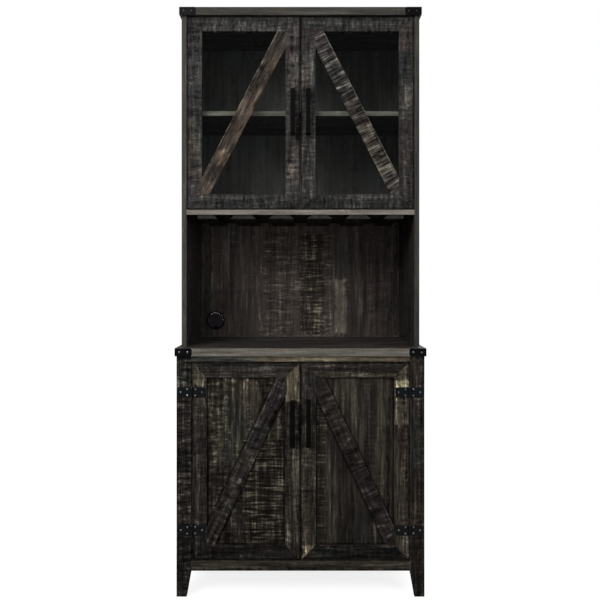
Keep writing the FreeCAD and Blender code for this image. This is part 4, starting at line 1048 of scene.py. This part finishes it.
def cross_cutter(turn):
    """One bar of the cross recess, narrower at its foot."""
    bar = bmesh.new()
    bmesh.ops.create_cube(bar, size=1.0)
    for corner in bar.verts:
        x, y, z = corner.co
        taper = 1.0 if z > 0 else CROSS_TAPER
        corner.co = (x * CROSS_LONG * taper, y * CROSS_WIDE * taper,
                     HEAD_HIGH + (HEAD_HIGH if z > 0 else -CROSS_DEEP))
    bar.transform(Matrix.Rotation(turn, 4, "Z"))
    return new_piece("cross_blank", bar)


def screw_head():
    """A domed head with a tapered cross recess, standing on the origin and facing +Z."""
    profile = [(HEAD_RADIUS * out, HEAD_HIGH * up) for out, up in HEAD_SHARES]
    head = new_piece("head_blank", turned(profile, HEAD_SIDES))
    cutters = [cross_cutter(turn) for turn in (0, QUARTER)]
    for cutter in cutters:
        recess = head.modifiers.new("recess", "BOOLEAN")
        recess.object = cutter
        recess.solver = "EXACT"
    bpy.context.view_layer.update()
    depsgraph = bpy.context.evaluated_depsgraph_get()
    made = bpy.data.meshes.new_from_object(head.evaluated_get(depsgraph))
    for blank in [head] + cutters:
        bpy.data.objects.remove(blank)
    return made


HEAD = screw_head()


def seat_screws(name, seats, material, body, node):
    """Screw heads on their seats, as one piece. A seat is a point and the way the head faces."""
    mesh = bmesh.new()
    for point, facing in seats:
        start = len(mesh.verts)
        mesh.from_mesh(HEAD)
        turn = facing.to_track_quat("Z", "Y").to_matrix().to_4x4()
        spin = Matrix.Rotation(DRAW.uniform(0, QUARTER), 4, "Z")
        mesh.verts.ensure_lookup_table()
        bmesh.ops.transform(mesh, matrix=Matrix.Translation(point) @ turn @ spin,
                            verts=mesh.verts[start:])
    piece = new_piece(name, mesh)
    piece.data.shade_smooth()
    crisp = piece.modifiers.new("crisp_recess", "EDGE_SPLIT")
    crisp.split_angle = CRISP_FROM
    piece.data.materials.append(material)
    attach(piece, body)
    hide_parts(node)


def screw_seats(node):
    """Where each screw of a node has its head, and which way the head faces."""
    seats = []
    for low, high in solids(node):
        size = high - low
        middle = (low + high) / 2
        if size.y > size.x:
            seats.append((Vector((middle.x, low.y + HEAD_HIGH, middle.z)), Vector((0, -1, 0))))
        else:
            side = 1 if middle.x > 0 else -1
            outer = high.x if side > 0 else low.x
            seats.append((Vector((outer - side * HEAD_HIGH, middle.y, middle.z)),
                          Vector((side, 0, 0))))
    return seats


def make_screws():
    """Domed screw heads of the hinges and brackets."""
    post, bracket = "hinge_post_screws", "bracket_screws"
    seat_screws("post_screw_heads", screw_seats(post), BRIGHT, "cabinet", post)
    for name, _ in SIDES:
        node = "lower_" + name + "_hinge_screws"
        seat_screws(name + "_door_screw_heads", screw_seats(node), BRIGHT,
                    "lower_" + name + "_door", node)
    seats = screw_seats(bracket)
    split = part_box("counter_top")[1].z
    for row, material, above in (("counter", BRIGHT, False), ("top", DULL, True)):
        chosen = [seat for seat in seats if (seat[0].z > split) == above]
        seat_screws(row + "_bracket_heads", chosen, material, "cabinet", bracket)


# Studio

WHITE = (1, 1, 1, 1)
SKY_LIGHT = 0.5
ROOM_LIGHT = 0.05
ROOM_FADE = (-0.2, 0.6)
FLOOR_HALF = 40.0
FLOOR_TONE = (0.4, 0.4, 0.4, 1)
FLOOR_GLOW = 0.82
FLOOR_FADE = (0.0, 3.0)


def room_light(wires, place, fade):
    """Light of the dimmer room in front, which rises to full light towards the back."""
    towards_back = wires.parts(wires.add("TexCoord").outputs[place])[1]
    return wires.add("MapRange", {
        "Value": towards_back, "From Min": fade[0], "From Max": fade[1], "To Min": ROOM_LIGHT,
        "To Max": 1.0}, interpolation_type="SMOOTHSTEP").outputs["Result"]


def shone(wires, kind, strength):
    """White light."""
    return wires.add(kind, {"Color": WHITE, "Strength": strength}).outputs[0]


def make_world():
    """Even studio light. The backdrop is white, and gloss and glass show the dimmer room."""
    world = bpy.data.worlds.new("studio")
    bpy.context.scene.world = world
    world.use_nodes = True
    world.node_tree.nodes.clear()
    wires = Wires(world.node_tree)
    path = wires.add("LightPath").outputs
    light = shone(wires, "Background", SKY_LIGHT)
    room = shone(wires, "Background", room_light(wires, "Generated", ROOM_FADE))
    mirrors = wires.most(path["Is Glossy Ray"], path["Is Transmission Ray"])
    under = wires.mixed(mirrors, light, room)
    backdrop = shone(wires, "Background", 1.0)
    wires.show("World", wires.mixed(path["Is Camera Ray"], under, backdrop))


def make_floor():
    """A pale floor that keeps the cabinet's shadow and reads as white."""
    mesh = bmesh.new()
    bmesh.ops.create_grid(mesh, x_segments=1, y_segments=1, size=FLOOR_HALF)
    floor = new_piece("studio_floor", mesh)
    material, wires = new_material("pale_floor")
    path = wires.add("LightPath").outputs
    seen = wires.most(path["Is Camera Ray"], path["Is Transmission Ray"])
    both = wires.add("AddShader")
    wires.feed_all(both.inputs, (
        wires.add("BsdfDiffuse", {"Color": FLOOR_TONE}).outputs[0],
        shone(wires, "Emission", wires.times(seen, FLOOR_GLOW))))
    room = shone(wires, "Emission", room_light(wires, "Object", FLOOR_FADE))
    wires.show("Material", wires.mixed(path["Is Glossy Ray"], both.outputs[0], room))
    floor.data.materials.append(material)


# Lamps: place, size, watts, and whether gloss and panes show it
LAMP_AIM = Vector((0, 0, 0.95))
LAMPS = {
    "key_lamp": ((-2.0, -3.0, 3.2), 1.8, 80, True),
    "fill_lamp": ((2.6, -2.6, 1.8), 2.0, 31, False),
    "back_lamp": ((1.8, 3.2, 2.6), 2.0, 60, True),
}


def make_lamps():
    """A key lamp high on the left, a weaker one on the right and one at the back."""
    for name, (place, size, power, in_gloss) in LAMPS.items():
        lamp = bpy.data.lights.new(name, "AREA")
        lamp.energy = power
        lamp.size = size
        holder = new_object(name, lamp)
        holder.location = place
        holder.visible_glossy = in_gloss
        holder.visible_transmission = in_gloss
        holder.rotation_mode = "QUATERNION"
        holder.rotation_quaternion = (LAMP_AIM - Vector(place)).to_track_quat("-Z", "Y")


CAMERA_AWAY = 2.068
CAMERA_HIGH = 0.970
CAMERA_X = -0.0015
LENS = 41.2
SENSOR = 36
SHIFT = -0.04


def make_camera():
    """A level camera in front of the cabinet, shifted down to take in the feet."""
    camera = bpy.data.cameras.new("front_camera")
    camera.lens = LENS
    camera.sensor_width = SENSOR
    camera.shift_y = SHIFT
    holder = new_object("front_camera", camera)
    counter_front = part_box("counter_top")[0].y
    holder.location = (CAMERA_X, counter_front - CAMERA_AWAY, CAMERA_HIGH)
    holder.rotation_euler = (QUARTER, 0, 0)
    bpy.context.scene.camera = holder


dress_carcass()
dress_doors()
dress_hardware()
make_screws()
make_world()
make_floor()
make_lamps()
make_camera()
bpy.context.scene.view_settings.view_transform = "Standard"

bpy.context.view_layer.update()
